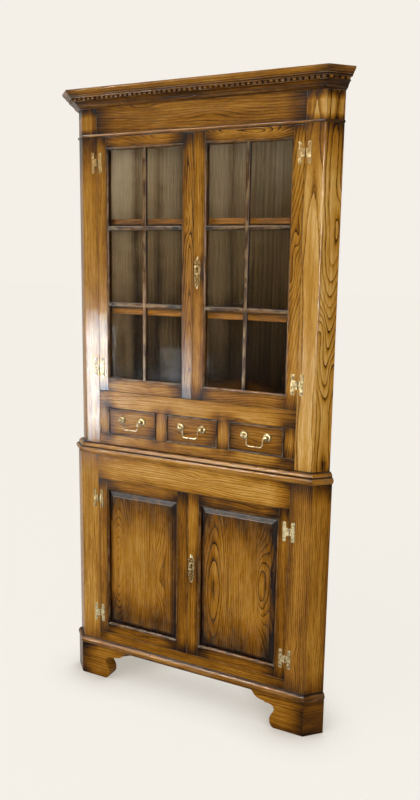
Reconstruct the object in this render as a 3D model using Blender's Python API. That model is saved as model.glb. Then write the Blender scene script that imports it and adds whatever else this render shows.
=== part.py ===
"""A glazed oak corner cabinet in two stages, with panelled doors below, three drawers at the
waist, glazed doors above and brass furniture. Metres, +Z up, the front towards -Y. The origin
lies on the floor, at the middle of the cabinet's plan box."""

import math

import bmesh
import bpy
from mathutils import Matrix, Vector

# Clearances
SEAT = 0.0003
DOOR_GAP = 0.0012
MEETING_GAP = 0.0016
PANEL_PLAY = 0.0006
DRAWER_PLAY = 0.0010
PIN_PLAY = 0.0003
OVERRUN = 0.0300
LAP = 0.0010

# Plan
FACE_HALF_WIDTH = 0.4000
RETURN_WIDTH = 0.0582
UPPER_STILE = 0.0545
LOWER_STILE = 0.0580
LOWER_STEP = 0.0185
PLINTH_STEP = 0.0090
ARRIS_FLAT = 0.0012

# Heights, stacked up from the floor
PLINTH_HEIGHT = 0.1352
BOTTOM_RAIL_HEIGHT = 0.0325
LOWER_DOORWAY_HEIGHT = 0.5500
TOP_RAIL_HEIGHT = 0.0826
WAIST_HEIGHT = 0.0341
DRAWER_RAIL_HEIGHT = 0.0328
DRAWER_WAY_HEIGHT = 0.0920
SILL_HEIGHT = 0.0542
UPPER_DOORWAY_HEIGHT = 0.7990
FRIEZE_HEIGHT = 0.0860
CORNICE_HEIGHT = 0.0516

# Boards
FRAME_THICKNESS = 0.0200
BACK_THICKNESS = 0.0120
SHELF_THICKNESS = 0.0160
FLOOR_THICKNESS = 0.0180
BOARD_WIDTH = 0.0950
GROOVE_WIDTH = 0.0050
GROOVE_DEPTH = 0.0025
SHELF_SETBACK = 0.0100
LOWER_SHELF_RISE = 0.2750
FIRST_DISPLAY_RISE = 0.2533
SECOND_DISPLAY_RISE = 0.2820
GUIDE_HEIGHT = 0.0140

# Cornice, bead, waist moulding and plinth edge
CORNICE_REACH = 0.0520
TOP_BOARD_DROP = 0.0020
TOP_BOARD_LAP = 0.0080
DENTIL_PITCH = 0.0170
DENTIL_WIDTH = 0.0100
BEAD_REACH = 0.0047
BEAD_HEIGHT = 0.0080
BEAD_RISE = 0.0020
BEAD_SIDES = 6
WAIST_REACH = 0.0267
WAIST_BOARD = 0.0200
WAIST_RIM = 0.0260
PLINTH_THICKNESS = 0.0450
PLINTH_NOSE = 0.0120
PLINTH_EDGE_HEIGHT = 0.0202

# Bracket feet
FOOT_LENGTH = 0.1800
APRON_HEIGHT = 0.1100

# Upper doors
UPPER_HINGE_STILE = 0.0392
UPPER_MEETING_STILE = 0.0412
UPPER_TOP_RAIL = 0.0374
UPPER_BOTTOM_RAIL = 0.0445
PANE_ROWS = 3
BAR_WIDTH = 0.0145
BAR_NOSE = 0.0070
BAR_SETBACK = 0.0015
SIGHT_MOULD = 0.0060
GLASS_THICKNESS = 0.0030
GLASS_FACE = 0.0100
GLASS_GRIP = 0.0060

# Lower doors
LOWER_HINGE_STILE = 0.0382
LOWER_MEETING_STILE = 0.0438
LOWER_TOP_RAIL = 0.0388
LOWER_BOTTOM_RAIL = 0.0384
PANEL_FACE = 0.0105
PANEL_THICKNESS = 0.0065
PANEL_GRIP = 0.0070
PANEL_BEVEL = 0.0165
PANEL_RAISE = 0.0080
PANEL_STEP = 0.0015

# Drawers
DRAWER_END_STILE = 0.0350
DRAWER_MUNTIN = 0.0375
DRAWER_FRONT = 0.0160
DRAWER_WALL = 0.0080
DRAWER_BOTTOM = 0.0060
DRAWER_SIDE_DROP = 0.0120
COCK_BEAD = 0.0050
COCK_BEAD_PROUD = 0.0030
OUTER_DRAWER_ROOM = 0.0198
MIDDLE_DRAWER_SHARE = 0.76

# H hinges
HINGE_HEIGHT = 0.0615
HINGE_WIDTH = 0.0385
HINGE_STRAP = 0.0110
HINGE_WEB = 0.0230
HINGE_PLATE = 0.0015
HINGE_BARREL = 0.0056
HINGE_PIN = 0.0026
HINGE_MIDDLE_SHARE = 0.40
BARREL_SIDES = 12
UPPER_HINGE_INSET = 0.0760
LOWER_HINGE_INSET = 0.0700

# Locks and escutcheons
UPPER_LOCK_RISE = 0.3904
LOWER_LOCK_RISE = 0.2998
LOCK_BACKSET = 0.0140
ESCUTCHEON_HEIGHT = 0.0955
ESCUTCHEON_WIDTH = 0.0245
ESCUTCHEON_PLATE = 0.0014
BOLT_HEIGHT = 0.0120
BOLT_THICKNESS = 0.0040
BOLT_LENGTH = 0.0270
BOLT_THROW = 0.0070
BOLT_DEPTH = 0.0080
KEYHOLE_HEIGHT = 0.0150
KEYHOLE_WIDTH = 0.0060

# Swan-neck handles
HANDLE_SPAN = 0.0760
HANDLE_RISE = 0.0093
ROSE_DIAMETER = 0.0275
ROSE_HEIGHT = 0.0050
POST_NECK = 0.0070
POST_BALL = 0.0105
POST_REACH = 0.0118
POST_SHANK = 0.0040
POST_NUT = 0.0100
NUT_THICKNESS = 0.0030
TURNED_SIDES = 16
BAIL_DROP = 0.0305
BAIL_WIRE = 0.0034
BAIL_ENTRY = 0.0030

# Derived places
ROOT_TWO = math.sqrt(2)
BACK_CORNER = FACE_HALF_WIDTH + ROOT_TWO * RETURN_WIDTH
FRONT_Y = (CORNICE_REACH - BACK_CORNER) / 2
WALL_LENGTH = ROOT_TWO * FACE_HALF_WIDTH + RETURN_WIDTH
PLINTH_REACH = LOWER_STEP + PLINTH_STEP
POST_INNER = LOWER_STEP - FRAME_THICKNESS
LOWER_DOORWAY_FOOT = PLINTH_HEIGHT + BOTTOM_RAIL_HEIGHT
LOWER_DOORWAY_HEAD = LOWER_DOORWAY_FOOT + LOWER_DOORWAY_HEIGHT
WAIST_FOOT = LOWER_DOORWAY_HEAD + TOP_RAIL_HEIGHT
WAIST_HEAD = WAIST_FOOT + WAIST_HEIGHT
DRAWER_FOOT = WAIST_HEAD + DRAWER_RAIL_HEIGHT
DRAWER_HEAD = DRAWER_FOOT + DRAWER_WAY_HEIGHT
UPPER_DOORWAY_FOOT = DRAWER_HEAD + SILL_HEIGHT
UPPER_DOORWAY_HEAD = UPPER_DOORWAY_FOOT + UPPER_DOORWAY_HEIGHT
CORNICE_FOOT = UPPER_DOORWAY_HEAD + FRIEZE_HEIGHT
CORNICE_HEAD = CORNICE_FOOT + CORNICE_HEIGHT
TOP_BOARD_HEAD = CORNICE_HEAD - TOP_BOARD_DROP
CARCASS_HEAD = TOP_BOARD_HEAD - FLOOR_THICKNESS
INTERIOR_FRONT = FRAME_THICKNESS + SHELF_SETBACK
UPPER_DOORWAY_HALF = FACE_HALF_WIDTH - UPPER_STILE
LOWER_DOORWAY_HALF = FACE_HALF_WIDTH - LOWER_STILE
DRAWER_OUTER_END = UPPER_DOORWAY_HALF - DRAWER_END_STILE
DRAWER_WIDTH = (DRAWER_OUTER_END - DRAWER_MUNTIN) * 2 / 3
DRAWER_MIDDLE_HALF = DRAWER_WIDTH / 2
DRAWER_OUTER_START = DRAWER_MIDDLE_HALF + DRAWER_MUNTIN
DRAWER_SPACE = BACK_CORNER - ROOT_TWO * BACK_THICKNESS
OUTER_DRAWER_DEPTH = DRAWER_SPACE - DRAWER_OUTER_END - OUTER_DRAWER_ROOM
MIDDLE_DRAWER_DEPTH = (DRAWER_SPACE - DRAWER_MIDDLE_HALF) * MIDDLE_DRAWER_SHARE

# Outlines as shares of their reach and height, from the top down
CORNICE_SHARES = (
    (1.00, 1.00), (1.00, 0.93), (0.97, 0.885), (0.93, 0.84), (0.87, 0.79), (0.83, 0.755),
    (0.81, 0.745), (0.81, 0.735), (0.785, 0.73), (0.785, 0.665), (0.75, 0.655), (0.70, 0.64),
    (0.68, 0.60), (0.665, 0.565), (0.64, 0.56), (0.43, 0.55), (0.43, 0.42), (0.53, 0.42),
    (0.53, 0.405), (0.48, 0.39), (0.44, 0.37), (0.39, 0.33), (0.345, 0.29), (0.31, 0.26),
    (0.29, 0.25), (0.29, 0.235), (0.27, 0.22), (0.25, 0.17), (0.22, 0.12), (0.17, 0.08),
    (0.10, 0.05), (0.085, 0.04), (0.08, 0.00),
)
DENTIL_FACE_SHARE = 0.62
DENTIL_ROOT_SHARE = 0.41
DENTIL_HEAD_SHARE = 0.565
DENTIL_FOOT_SHARE = 0.435
WAIST_SHARES = (
    (0.00, 1.00), (0.28, 0.98), (0.48, 0.91), (0.61, 0.79), (0.66, 0.66), (0.60, 0.59),
    (0.76, 0.58), (0.91, 0.52), (0.99, 0.42), (1.00, 0.30), (0.95, 0.16), (0.84, 0.06),
    (0.71, 0.00),
)
PLINTH_EDGE_SHARES = (
    (0.04, 1.00), (0.10, 0.96), (0.45, 0.90), (0.72, 0.80), (0.92, 0.62), (1.00, 0.40),
    (0.97, 0.18), (0.75, 0.08),
)
# The inner edge of a bracket foot, from the floor up to the apron, as shares of the foot's
# length along the face and of the apron's height
FOOT_SHARES = (
    (0.54, 0.00), (0.585, 0.05), (0.615, 0.14), (0.622, 0.25), (0.605, 0.36), (0.575, 0.44),
    (0.548, 0.51), (0.540, 0.58), (0.552, 0.65), (0.585, 0.70), (0.640, 0.725), (0.715, 0.73),
    (0.735, 0.76), (0.80, 0.775), (0.865, 0.81), (0.915, 0.87), (0.945, 0.94), (0.965, 0.985),
    (1.00, 1.00),
)
# Half the outline of an escutcheon, top to bottom: shares of its half width and half height
ESCUTCHEON_SHARES = (
    (0.10, 1.00), (0.26, 0.97), (0.30, 0.92), (0.24, 0.87), (0.42, 0.79), (0.62, 0.70),
    (0.86, 0.64), (1.00, 0.59), (0.92, 0.54), (0.80, 0.50), (0.72, 0.40), (0.80, 0.26),
    (0.86, 0.12), (0.84, -0.02), (0.74, -0.12), (0.70, -0.19), (0.80, -0.26), (0.72, -0.32),
    (0.68, -0.37), (0.84, -0.45), (0.86, -0.52), (0.72, -0.58), (0.64, -0.64), (0.66, -0.70),
    (0.52, -0.80), (0.36, -0.88), (0.28, -0.93), (0.24, -0.97), (0.10, -1.00),
)
# Piercings of an escutcheon: place, half width and half height, in the same shares
PIERCING_SHARES = (
    (0.00, 0.69, 0.20, 0.090), (-0.38, 0.49, 0.20, 0.070), (0.38, 0.49, 0.20, 0.070),
    (-0.35, -0.20, 0.19, 0.075), (0.35, -0.20, 0.19, 0.075), (0.00, -0.36, 0.17, 0.060),
    (-0.42, -0.43, 0.15, 0.055), (0.42, -0.43, 0.15, 0.055), (0.00, -0.55, 0.19, 0.065),
    (-0.38, -0.60, 0.13, 0.045), (0.38, -0.60, 0.13, 0.045), (0.00, -0.75, 0.18, 0.070),
)
KEYHOLE_SHARE = 0.150
# Half a bail, from its pivot to the middle of its grip: shares of its half span and its drop
BAIL_SHARES = (
    (0.86, 0.00), (0.76, 0.03), (0.695, 0.15), (0.690, 0.34), (0.700, 0.58), (0.675, 0.80),
    (0.580, 0.95), (0.420, 1.00), (0.000, 0.985),
)
BAIL_SWELL_SHARES = (1.0, 0.90, 0.95, 1.00, 1.05, 1.10, 1.18, 1.30, 1.45)


def clear_scene():
    for old in list(bpy.data.objects):
        bpy.data.objects.remove(old, do_unlink=True)


def make_material(name, colour, roughness, metallic=0.0, alpha=1.0):
    material = bpy.data.materials.new(name)
    material.use_nodes = True
    shader = material.node_tree.nodes["Principled BSDF"]
    shader.inputs["Base Color"].default_value = (*colour, 1.0)
    shader.inputs["Roughness"].default_value = roughness
    shader.inputs["Metallic"].default_value = metallic
    shader.inputs["Alpha"].default_value = alpha
    material.diffuse_color = (*colour, alpha)
    return material


def add_object(name, mesh_builder, material, smooth_angle=None):
    """Turns a bmesh into a named object in the scene, with its faces pointing out."""
    bmesh.ops.recalc_face_normals(mesh_builder, faces=mesh_builder.faces)
    mesh = bpy.data.meshes.new(name)
    mesh_builder.to_mesh(mesh)
    mesh_builder.free()
    if smooth_angle is not None:
        mesh.shade_smooth()
        mesh.set_sharp_from_angle(angle=smooth_angle)
    obj = bpy.data.objects.new(name, mesh)
    bpy.context.scene.collection.objects.link(obj)
    obj.data.materials.append(material)
    return obj


def bridge(builder, first, second):
    """Joins two loops of points with quads."""
    count = len(first)
    for index in range(count):
        following = (index + 1) % count
        builder.faces.new((first[index], first[following], second[following], second[index]))


def stack(rings, builder=None):
    """A closed solid through loops of points, with flat ends."""
    builder = builder or bmesh.new()
    loops = [[builder.verts.new(point) for point in ring] for ring in rings]
    for first, second in zip(loops, loops[1:]):
        bridge(builder, first, second)
    builder.faces.new(loops[0])
    builder.faces.new(list(reversed(loops[-1])))
    return builder


def hoop(rings):
    """A closed solid through loops of points, the last joined to the first."""
    builder = bmesh.new()
    loops = [[builder.verts.new(point) for point in ring] for ring in rings]
    for index, loop in enumerate(loops):
        bridge(builder, loop, loops[(index + 1) % len(loops)])
    return builder


def upright(outline, low, high, builder=None):
    """A prism over an outline in plan."""
    rings = [[(x, y, height) for x, y in outline] for height in (low, high)]
    return stack(rings, builder)


def facing(outline, front, back, builder=None):
    """A prism behind an outline drawn on the front."""
    rings = [[(x, depth, z) for x, z in outline] for depth in (front, back)]
    return stack(rings, builder)


def box(low, high, builder=None):
    outline = [(low[0], low[1]), (high[0], low[1]), (high[0], high[1]), (low[0], high[1])]
    return upright(outline, low[2], high[2], builder)


def rectangle(bounds, depth, grow=0):
    """Four corners at one depth. Bounds are left, foot, right and head."""
    left, foot, right, head = bounds
    return [
        (left - grow, depth, foot - grow),
        (right + grow, depth, foot - grow),
        (right + grow, depth, head + grow),
        (left - grow, depth, head + grow),
    ]


def circle(radius, sides, centre=(0, 0)):
    turn = 2 * math.pi / sides
    return [
        (centre[0] + radius * math.cos(index * turn), centre[1] + radius * math.sin(index * turn))
        for index in range(sides)
    ]


def combine(target, tool, operation):
    """Applies an exact Boolean and removes the tool."""
    modifier = target.modifiers.new("combine", "BOOLEAN")
    modifier.operation = operation
    modifier.solver = "EXACT"
    modifier.object = tool
    bpy.context.view_layer.update()
    graph = bpy.context.evaluated_depsgraph_get()
    mesh = bpy.data.meshes.new_from_object(target.evaluated_get(graph))
    target.modifiers.clear()
    target.data = mesh
    bpy.data.objects.remove(tool, do_unlink=True)
    return target


def join_solid(target, builder):
    return combine(target, add_object("tool", builder, target.data.materials[0]), "UNION")


def cut_solid(target, builder):
    return combine(target, add_object("tool", builder, target.data.materials[0]), "DIFFERENCE")


def add_pivot(name, place):
    """An empty on a joint's axis, which its moving pieces hang from."""
    pivot = bpy.data.objects.new(name, None)
    pivot.location = place
    bpy.context.scene.collection.objects.link(pivot)
    return pivot


def hang_on(pivot, obj):
    """Gives an object its parent on the joint's axis and leaves it where it is."""
    obj.data.transform(Matrix.Translation(-pivot_place(pivot)))
    obj.parent = pivot
    return obj


def pivot_place(pivot):
    place = Vector(pivot.location)
    return place + pivot_place(pivot.parent) if pivot.parent else place


def hang_pivot(pivot, parent):
    pivot.location = Vector(pivot.location) - pivot_place(parent)
    pivot.parent = parent


# Plan of the cabinet


def arris(reach):
    """The front corner on the right, with both faces moved out by a reach."""
    return (FACE_HALF_WIDTH + (ROOT_TWO - 1) * reach, FRONT_Y - reach)


def wall_end(reach, inset=0):
    """Where the right return meets the wall, or a line inset from the wall."""
    depth = BACK_CORNER - ROOT_TWO * inset
    side = FACE_HALF_WIDTH + ROOT_TWO * reach
    return ((depth + side) / 2, FRONT_Y + (depth - side) / 2)


def plan(reach, inset=0):
    """The five corners of the plan, its front moved out and its back moved in."""
    right = [arris(reach), wall_end(reach, inset)]
    corner = [(0, FRONT_Y + BACK_CORNER - ROOT_TWO * inset)]
    left = [(-x, y) for x, y in reversed(right)]
    return right + corner + left


def inner_plan(front, reach, inset):
    """The plan inside the posts, with its front edge set back from the upper face."""
    depth = BACK_CORNER - ROOT_TWO * inset
    side = FACE_HALF_WIDTH + ROOT_TWO * reach
    right = [
        (side + front, FRONT_Y + front),
        ((depth + side) / 2, FRONT_Y + (depth - side) / 2),
    ]
    corner = [(0, FRONT_Y + depth)]
    left = [(-x, y) for x, y in reversed(right)]
    return right + corner + left


def mirror(points, side):
    return [(side * x, *rest) for x, *rest in points]


def moulding(profile):
    """A solid swept along the left return, the front and the right return, mitred."""
    stations = (
        lambda reach: mirror([wall_end(reach)], -1)[0],
        lambda reach: mirror([arris(reach)], -1)[0],
        arris,
        wall_end,
    )
    rings = [[(*place(reach), height) for reach, height in profile] for place in stations]
    return stack(rings)


def scaled(shares, reach, foot, height, start=0):
    return [(start + across * reach, foot + up * height) for across, up in shares]


# Carcass


def post_outline(reach, doorway_half):
    """A corner post in plan: the face stile and the canted return as one board."""
    outer = arris(reach)
    inner = arris(reach - FRAME_THICKNESS)
    diagonal = ARRIS_FLAT / ROOT_TWO
    return [
        (doorway_half, outer[1]),
        (outer[0] - ARRIS_FLAT, outer[1]),
        (outer[0] + diagonal, outer[1] + diagonal),
        wall_end(reach),
        wall_end(reach - FRAME_THICKNESS),
        inner,
        (doorway_half, inner[1]),
    ]


def add_posts(stage, reach, doorway_half, foot, head, wood):
    for name, side in (("left", -1), ("right", 1)):
        outline = mirror(post_outline(reach, doorway_half), side)
        add_object(f"{stage}_post_{name}", upright(outline, foot, head), wood)


def wall_point(along, inward):
    """A point in plan, measured from the back corner along the right wall and in from it."""
    return ((along - inward) / ROOT_TWO, FRONT_Y + BACK_CORNER - (along + inward) / ROOT_TWO)


def wall_board_outline(start, end):
    """A back of vertical boards in plan, with a V groove at each joint on its inner side."""
    points = [(start, 0), (end, 0), (end, BACK_THICKNESS)]
    half = GROOVE_WIDTH / 2
    for index in range(int((end - half) / BOARD_WIDTH), 0, -1):
        joint = index * BOARD_WIDTH
        if joint - half <= start + BACK_THICKNESS:
            continue
        points += [
            (joint + half, BACK_THICKNESS),
            (joint, BACK_THICKNESS - GROOVE_DEPTH),
            (joint - half, BACK_THICKNESS),
        ]
    points.append((start, BACK_THICKNESS))
    return [wall_point(along, inward) for along, inward in points]


def add_backs(stage, reach, foot, head, wood):
    """Two boarded backs that lap at the rear corner and butt against the posts."""
    end = WALL_LENGTH + reach - FRAME_THICKNESS - SEAT
    backs = []
    for name, side, start in (("right", 1, 0), ("left", -1, BACK_THICKNESS + SEAT)):
        outline = mirror(wall_board_outline(start, end), side)
        backs.append(add_object(f"{stage}_back_{name}", upright(outline, foot, head), wood))
    return backs


def notch_lower_backs(backs):
    """The lower backs stand on the floor, cut away where the plinth's returns end."""
    start = WALL_LENGTH + PLINTH_REACH - PLINTH_THICKNESS - SEAT
    corners = [
        (start, -OVERRUN),
        (start + OVERRUN + PLINTH_THICKNESS, -OVERRUN),
        (start + OVERRUN + PLINTH_THICKNESS, OVERRUN),
        (start, OVERRUN),
    ]
    outline = [wall_point(along, inward) for along, inward in corners]
    for back, side in zip(backs, (1, -1)):
        cut_solid(back, upright(mirror(outline, side), -OVERRUN, PLINTH_HEIGHT + SEAT))


def lattice(across, up, front, back, is_open):
    """A flat frame with rectangular openings, as one solid."""
    builder = bmesh.new()
    solid = {
        (column, row)
        for column in range(len(across) - 1)
        for row in range(len(up) - 1)
        if not is_open(column, row)
    }
    points = {}

    def point(column, row, depth):
        key = (column, row, depth)
        if key not in points:
            points[key] = builder.verts.new((across[column], depth, up[row]))
        return points[key]

    for column, row in sorted(solid):
        corners = [(column, row), (column + 1, row), (column + 1, row + 1), (column, row + 1)]
        for depth in (front, back):
            builder.faces.new([point(*corner, depth) for corner in corners])
        steps = ((0, -1), (1, 0), (0, 1), (-1, 0))
        for index, (right, rise) in enumerate(steps):
            if (column + right, row + rise) in solid:
                continue
            first = corners[index]
            second = corners[(index + 1) % len(corners)]
            ends = ((first, front), (second, front), (second, back), (first, back))
            builder.faces.new([point(*corner, depth) for corner, depth in ends])
    return builder


def add_drawer_frame(wood):
    """The face between the waist and the upper doors, with three drawer openings."""
    middle = DRAWER_MIDDLE_HALF
    start = DRAWER_OUTER_START
    end = DRAWER_OUTER_END
    edge = UPPER_DOORWAY_HALF - SEAT
    across = (-edge, -end, -start, -middle, middle, start, end, edge)
    up = (WAIST_HEAD + SEAT, DRAWER_FOOT, DRAWER_HEAD, UPPER_DOORWAY_FOOT)
    front = FRONT_Y
    openings = ((1, 1), (3, 1), (5, 1))
    builder = lattice(
        across, up, front, front + FRAME_THICKNESS, lambda column, row: (column, row) in openings
    )
    return add_object("drawer_face_frame", builder, wood)


def add_drawer_deck(wood):
    """The board that the drawers run on, with guide strips between and beside them."""
    outline = inner_plan(FRAME_THICKNESS + SEAT, -FRAME_THICKNESS - SEAT, BACK_THICKNESS + SEAT)
    foot = DRAWER_FOOT - FLOOR_THICKNESS
    deck = add_object("drawer_deck", upright(outline, foot, DRAWER_FOOT), wood)
    front = FRONT_Y + FRAME_THICKNESS + SEAT
    outer_back = front + OUTER_DRAWER_DEPTH - DRAWER_FRONT
    middle_back = front + MIDDLE_DRAWER_DEPTH - DRAWER_FRONT
    inner_limit = DRAWER_MIDDLE_HALF + DRAWER_PLAY
    for side in (-1, 1):
        strips = (
            (inner_limit, DRAWER_OUTER_START - DRAWER_PLAY, outer_back),
            (inner_limit, inner_limit + DRAWER_WALL, middle_back),
            (DRAWER_OUTER_END + DRAWER_PLAY, DRAWER_OUTER_END + DRAWER_WALL, outer_back),
        )
        for start, end, back in strips:
            left, right = sorted((side * start, side * end))
            low = (left, front + DRAWER_WALL, DRAWER_FOOT - LAP)
            join_solid(deck, box(low, (right, back, DRAWER_FOOT + GUIDE_HEIGHT)))
    return deck


def add_shelves(wood):
    """The display floor, two display shelves, and the shelf in the cupboard below."""
    outline = inner_plan(FRAME_THICKNESS + SEAT, -FRAME_THICKNESS - SEAT, BACK_THICKNESS + SEAT)
    foot = UPPER_DOORWAY_FOOT - FLOOR_THICKNESS
    add_object("display_floor", upright(outline, foot, UPPER_DOORWAY_FOOT), wood)
    outline = inner_plan(INTERIOR_FRONT, -FRAME_THICKNESS - SEAT, BACK_THICKNESS + SEAT)
    low = UPPER_DOORWAY_FOOT
    for name, rise in (("low", FIRST_DISPLAY_RISE), ("high", SECOND_DISPLAY_RISE)):
        low += rise
        add_object(f"display_shelf_{name}", upright(outline, low, low + SHELF_THICKNESS), wood)
    front = INTERIOR_FRONT - LOWER_STEP
    outline = inner_plan(front, POST_INNER - SEAT, BACK_THICKNESS + SEAT)
    low = LOWER_DOORWAY_FOOT + LOWER_SHELF_RISE
    add_object("cupboard_shelf", upright(outline, low, low + SHELF_THICKNESS), wood)


def add_cupboard_floor(wood):
    """The lower floor and the rail under the doors, as one piece on the plinth."""
    low = PLINTH_HEIGHT + SEAT
    front = FRAME_THICKNESS - LOWER_STEP + SEAT
    outline = inner_plan(front, POST_INNER - SEAT, BACK_THICKNESS + SEAT)
    floor = add_object("cupboard_floor", upright(outline, low, low + FLOOR_THICKNESS), wood)
    edge = LOWER_DOORWAY_HALF - SEAT
    face = FRONT_Y - LOWER_STEP
    rail = box((-edge, face, low), (edge, FRONT_Y + front + LAP, LOWER_DOORWAY_FOOT))
    return join_solid(floor, rail)


def add_face_rails(wood):
    """The rail over the lower doors, and the frieze with its planted bead."""
    edge = LOWER_DOORWAY_HALF - SEAT
    face = FRONT_Y - LOWER_STEP
    high = (edge, face + FRAME_THICKNESS, WAIST_FOOT - SEAT)
    add_object("cupboard_top_rail", box((-edge, face, LOWER_DOORWAY_HEAD), high), wood)
    edge = UPPER_DOORWAY_HALF - SEAT
    high = (edge, FRONT_Y + FRAME_THICKNESS, CARCASS_HEAD - SEAT)
    frieze = add_object("frieze_rail", box((-edge, FRONT_Y, UPPER_DOORWAY_HEAD), high), wood)
    foot = UPPER_DOORWAY_HEAD + BEAD_RISE
    half = BEAD_HEIGHT / 2
    profile = [(SEAT, foot + BEAD_HEIGHT), (SEAT, foot)]
    for index in range(1, BEAD_SIDES):
        angle = math.pi * index / BEAD_SIDES
        profile.append((BEAD_REACH * math.sin(angle), foot + half - half * math.cos(angle)))
    low = (LAP - edge, FRONT_Y - BEAD_REACH / 2, foot + half / 2)
    key = box(low, (edge - LAP, FRONT_Y + LAP, foot + half + half / 2))
    join_solid(frieze, key)
    return join_solid(frieze, moulding(profile))


def dentil_boxes():
    """A row of dentils along the front and along each return."""
    builder = bmesh.new()
    face = CORNICE_REACH * DENTIL_FACE_SHARE
    root = CORNICE_REACH * DENTIL_ROOT_SHARE
    low = CORNICE_FOOT + CORNICE_HEIGHT * DENTIL_FOOT_SHARE
    high = CORNICE_FOOT + CORNICE_HEIGHT * DENTIL_HEAD_SHARE
    half = DENTIL_WIDTH / 2
    last = arris(root)[0] - half - LAP
    count = round(last / DENTIL_PITCH)
    step = last / count
    for index in range(-count, count + 1):
        centre = index * step
        box((centre - half, FRONT_Y - face, low), (centre + half, FRONT_Y - root, high), builder)
    start = WALL_LENGTH + root
    last = RETURN_WIDTH + (ROOT_TWO - 1) * root - half - LAP
    for index in range(int((last - half) / step) + 1):
        along = last - index * step
        corners = [
            (start, along - half),
            (start - root + face, along - half),
            (start - root + face, along + half),
            (start, along + half),
        ]
        outline = [wall_point(reach, inward) for reach, inward in corners]
        for side in (1, -1):
            upright(mirror(outline, side), low, high, builder)
    return builder


def add_cornice(wood):
    """The crown moulding with its dentils, and the top board that it surrounds."""
    profile = scaled(CORNICE_SHARES, CORNICE_REACH, CORNICE_FOOT, CORNICE_HEIGHT)
    profile += [(SEAT, CORNICE_FOOT), (SEAT, CORNICE_HEAD)]
    cornice = add_object("cornice", moulding(profile), wood)
    join_solid(cornice, dentil_boxes())
    return join_solid(cornice, upright(plan(TOP_BOARD_LAP), CARCASS_HEAD, TOP_BOARD_HEAD))


def add_waist(wood):
    """The moulded top board of the lower stage, hollowed underneath behind its rim."""
    profile = scaled(WAIST_SHARES, WAIST_REACH, WAIST_FOOT, WAIST_HEIGHT)
    rings = [[(*point, height) for point in plan(reach)] for reach, height in profile]
    rim = LOWER_STEP - WAIST_RIM
    for height in (WAIST_FOOT, WAIST_HEAD - WAIST_BOARD):
        rings.append([(*point, height) for point in plan(rim, BACK_THICKNESS)])
    return add_object("waist_board", stack(rings), wood)


def add_plinth(wood):
    """The bracket plinth: a moulded board round the front and returns, cut to shaped feet."""
    edge_foot = PLINTH_HEIGHT - PLINTH_EDGE_HEIGHT
    profile = scaled(
        PLINTH_EDGE_SHARES, PLINTH_NOSE, edge_foot, PLINTH_EDGE_HEIGHT, start=LOWER_STEP
    )
    inner = PLINTH_REACH - PLINTH_THICKNESS
    profile += [(PLINTH_REACH, edge_foot), (PLINTH_REACH, 0), (inner, 0), (inner, PLINTH_HEIGHT)]
    plinth = add_object("bracket_plinth", moulding(profile), wood)
    corner = arris(PLINTH_REACH)[0]
    right = [
        (corner - along * FOOT_LENGTH, up * APRON_HEIGHT) for along, up in FOOT_SHARES
    ]
    opening = [(right[0][0], -OVERRUN), *right]
    opening += [(-x, z) for x, z in reversed(opening)]
    front = FRONT_Y - PLINTH_REACH
    cutter = facing(opening, front - OVERRUN, front + PLINTH_THICKNESS + OVERRUN)
    return cut_solid(plinth, cutter)


# Doors


def bar_heights():
    """The heights of the glazing bars, which part the opening into equal rows."""
    foot = UPPER_DOORWAY_FOOT + DOOR_GAP + UPPER_BOTTOM_RAIL
    head = UPPER_DOORWAY_HEAD - DOOR_GAP - UPPER_TOP_RAIL
    return [foot + (head - foot) * row / PANE_ROWS for row in range(1, PANE_ROWS)]


def door_bounds(doorway_half, foot, head, side):
    """A door's outer edges as left, foot, right and head."""
    left, right = sorted((side * MEETING_GAP / 2, side * (doorway_half - DOOR_GAP)))
    return (left, foot + DOOR_GAP, right, head - DOOR_GAP)


def sight_bounds(bounds, side, hinge_stile, meeting_stile, bottom_rail, top_rail):
    """The edges of the opening inside a door's frame."""
    left, foot, right, head = bounds
    widths = (meeting_stile, hinge_stile) if side > 0 else (hinge_stile, meeting_stile)
    return (left + widths[0], foot + bottom_rail, right - widths[1], head - top_rail)


def framed(bounds, sight, face, inner):
    """A door frame whose inner edge follows a list of growth and depth from the sight edge."""
    rings = [rectangle(bounds, face + FRAME_THICKNESS), rectangle(bounds, face)]
    rings += [rectangle(sight, face + depth, grow) for grow, depth in inner]
    rings.append(rectangle(sight, face + FRAME_THICKNESS))
    return hoop(rings)


def ovolo(size, steps=4):
    """A quarter round from the face down to the sight edge, behind a small square."""
    quirk = size / 6
    radius = size - quirk
    points = [(size, 0), (size, quirk)]
    for index in range(1, steps + 1):
        angle = math.pi / 2 * index / steps
        points.append((size - radius * math.sin(angle) - quirk * (index == steps),
                       quirk + radius * (1 - math.cos(angle))))
    return points


def groove(depth, front, back):
    return [(0, front), (depth, front), (depth, back), (0, back)]


def bar_profile():
    """Half of a glazing bar's section: distance from its centre line and depth."""
    half = BAR_WIDTH / 2
    nose = BAR_NOSE / 2
    drop = half - nose
    points = [(nose, BAR_SETBACK)]
    steps = 3
    for index in range(1, steps + 1):
        angle = math.pi / 2 * index / steps
        points.append((nose + drop * math.sin(angle), BAR_SETBACK + drop * (1 - math.cos(angle))))
    points.append((half, GLASS_FACE - SEAT))
    return points


def glazing_bar(start, end, centre, face, vertical):
    profile = bar_profile()
    section = profile + [(-across, depth) for across, depth in reversed(profile)]
    rings = []
    for place in (start, end):
        if vertical:
            rings.append([(centre + across, face + depth, place) for across, depth in section])
        else:
            rings.append([(place, face + depth, centre + across) for across, depth in section])
    return stack(rings)


def lock_place(bounds, side, rise):
    """Where the key goes in, on the meeting stile: across and up."""
    left, foot, right, _ = bounds
    meeting = left if side > 0 else right
    return (meeting + side * LOCK_BACKSET, foot + rise - DOOR_GAP)


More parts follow.
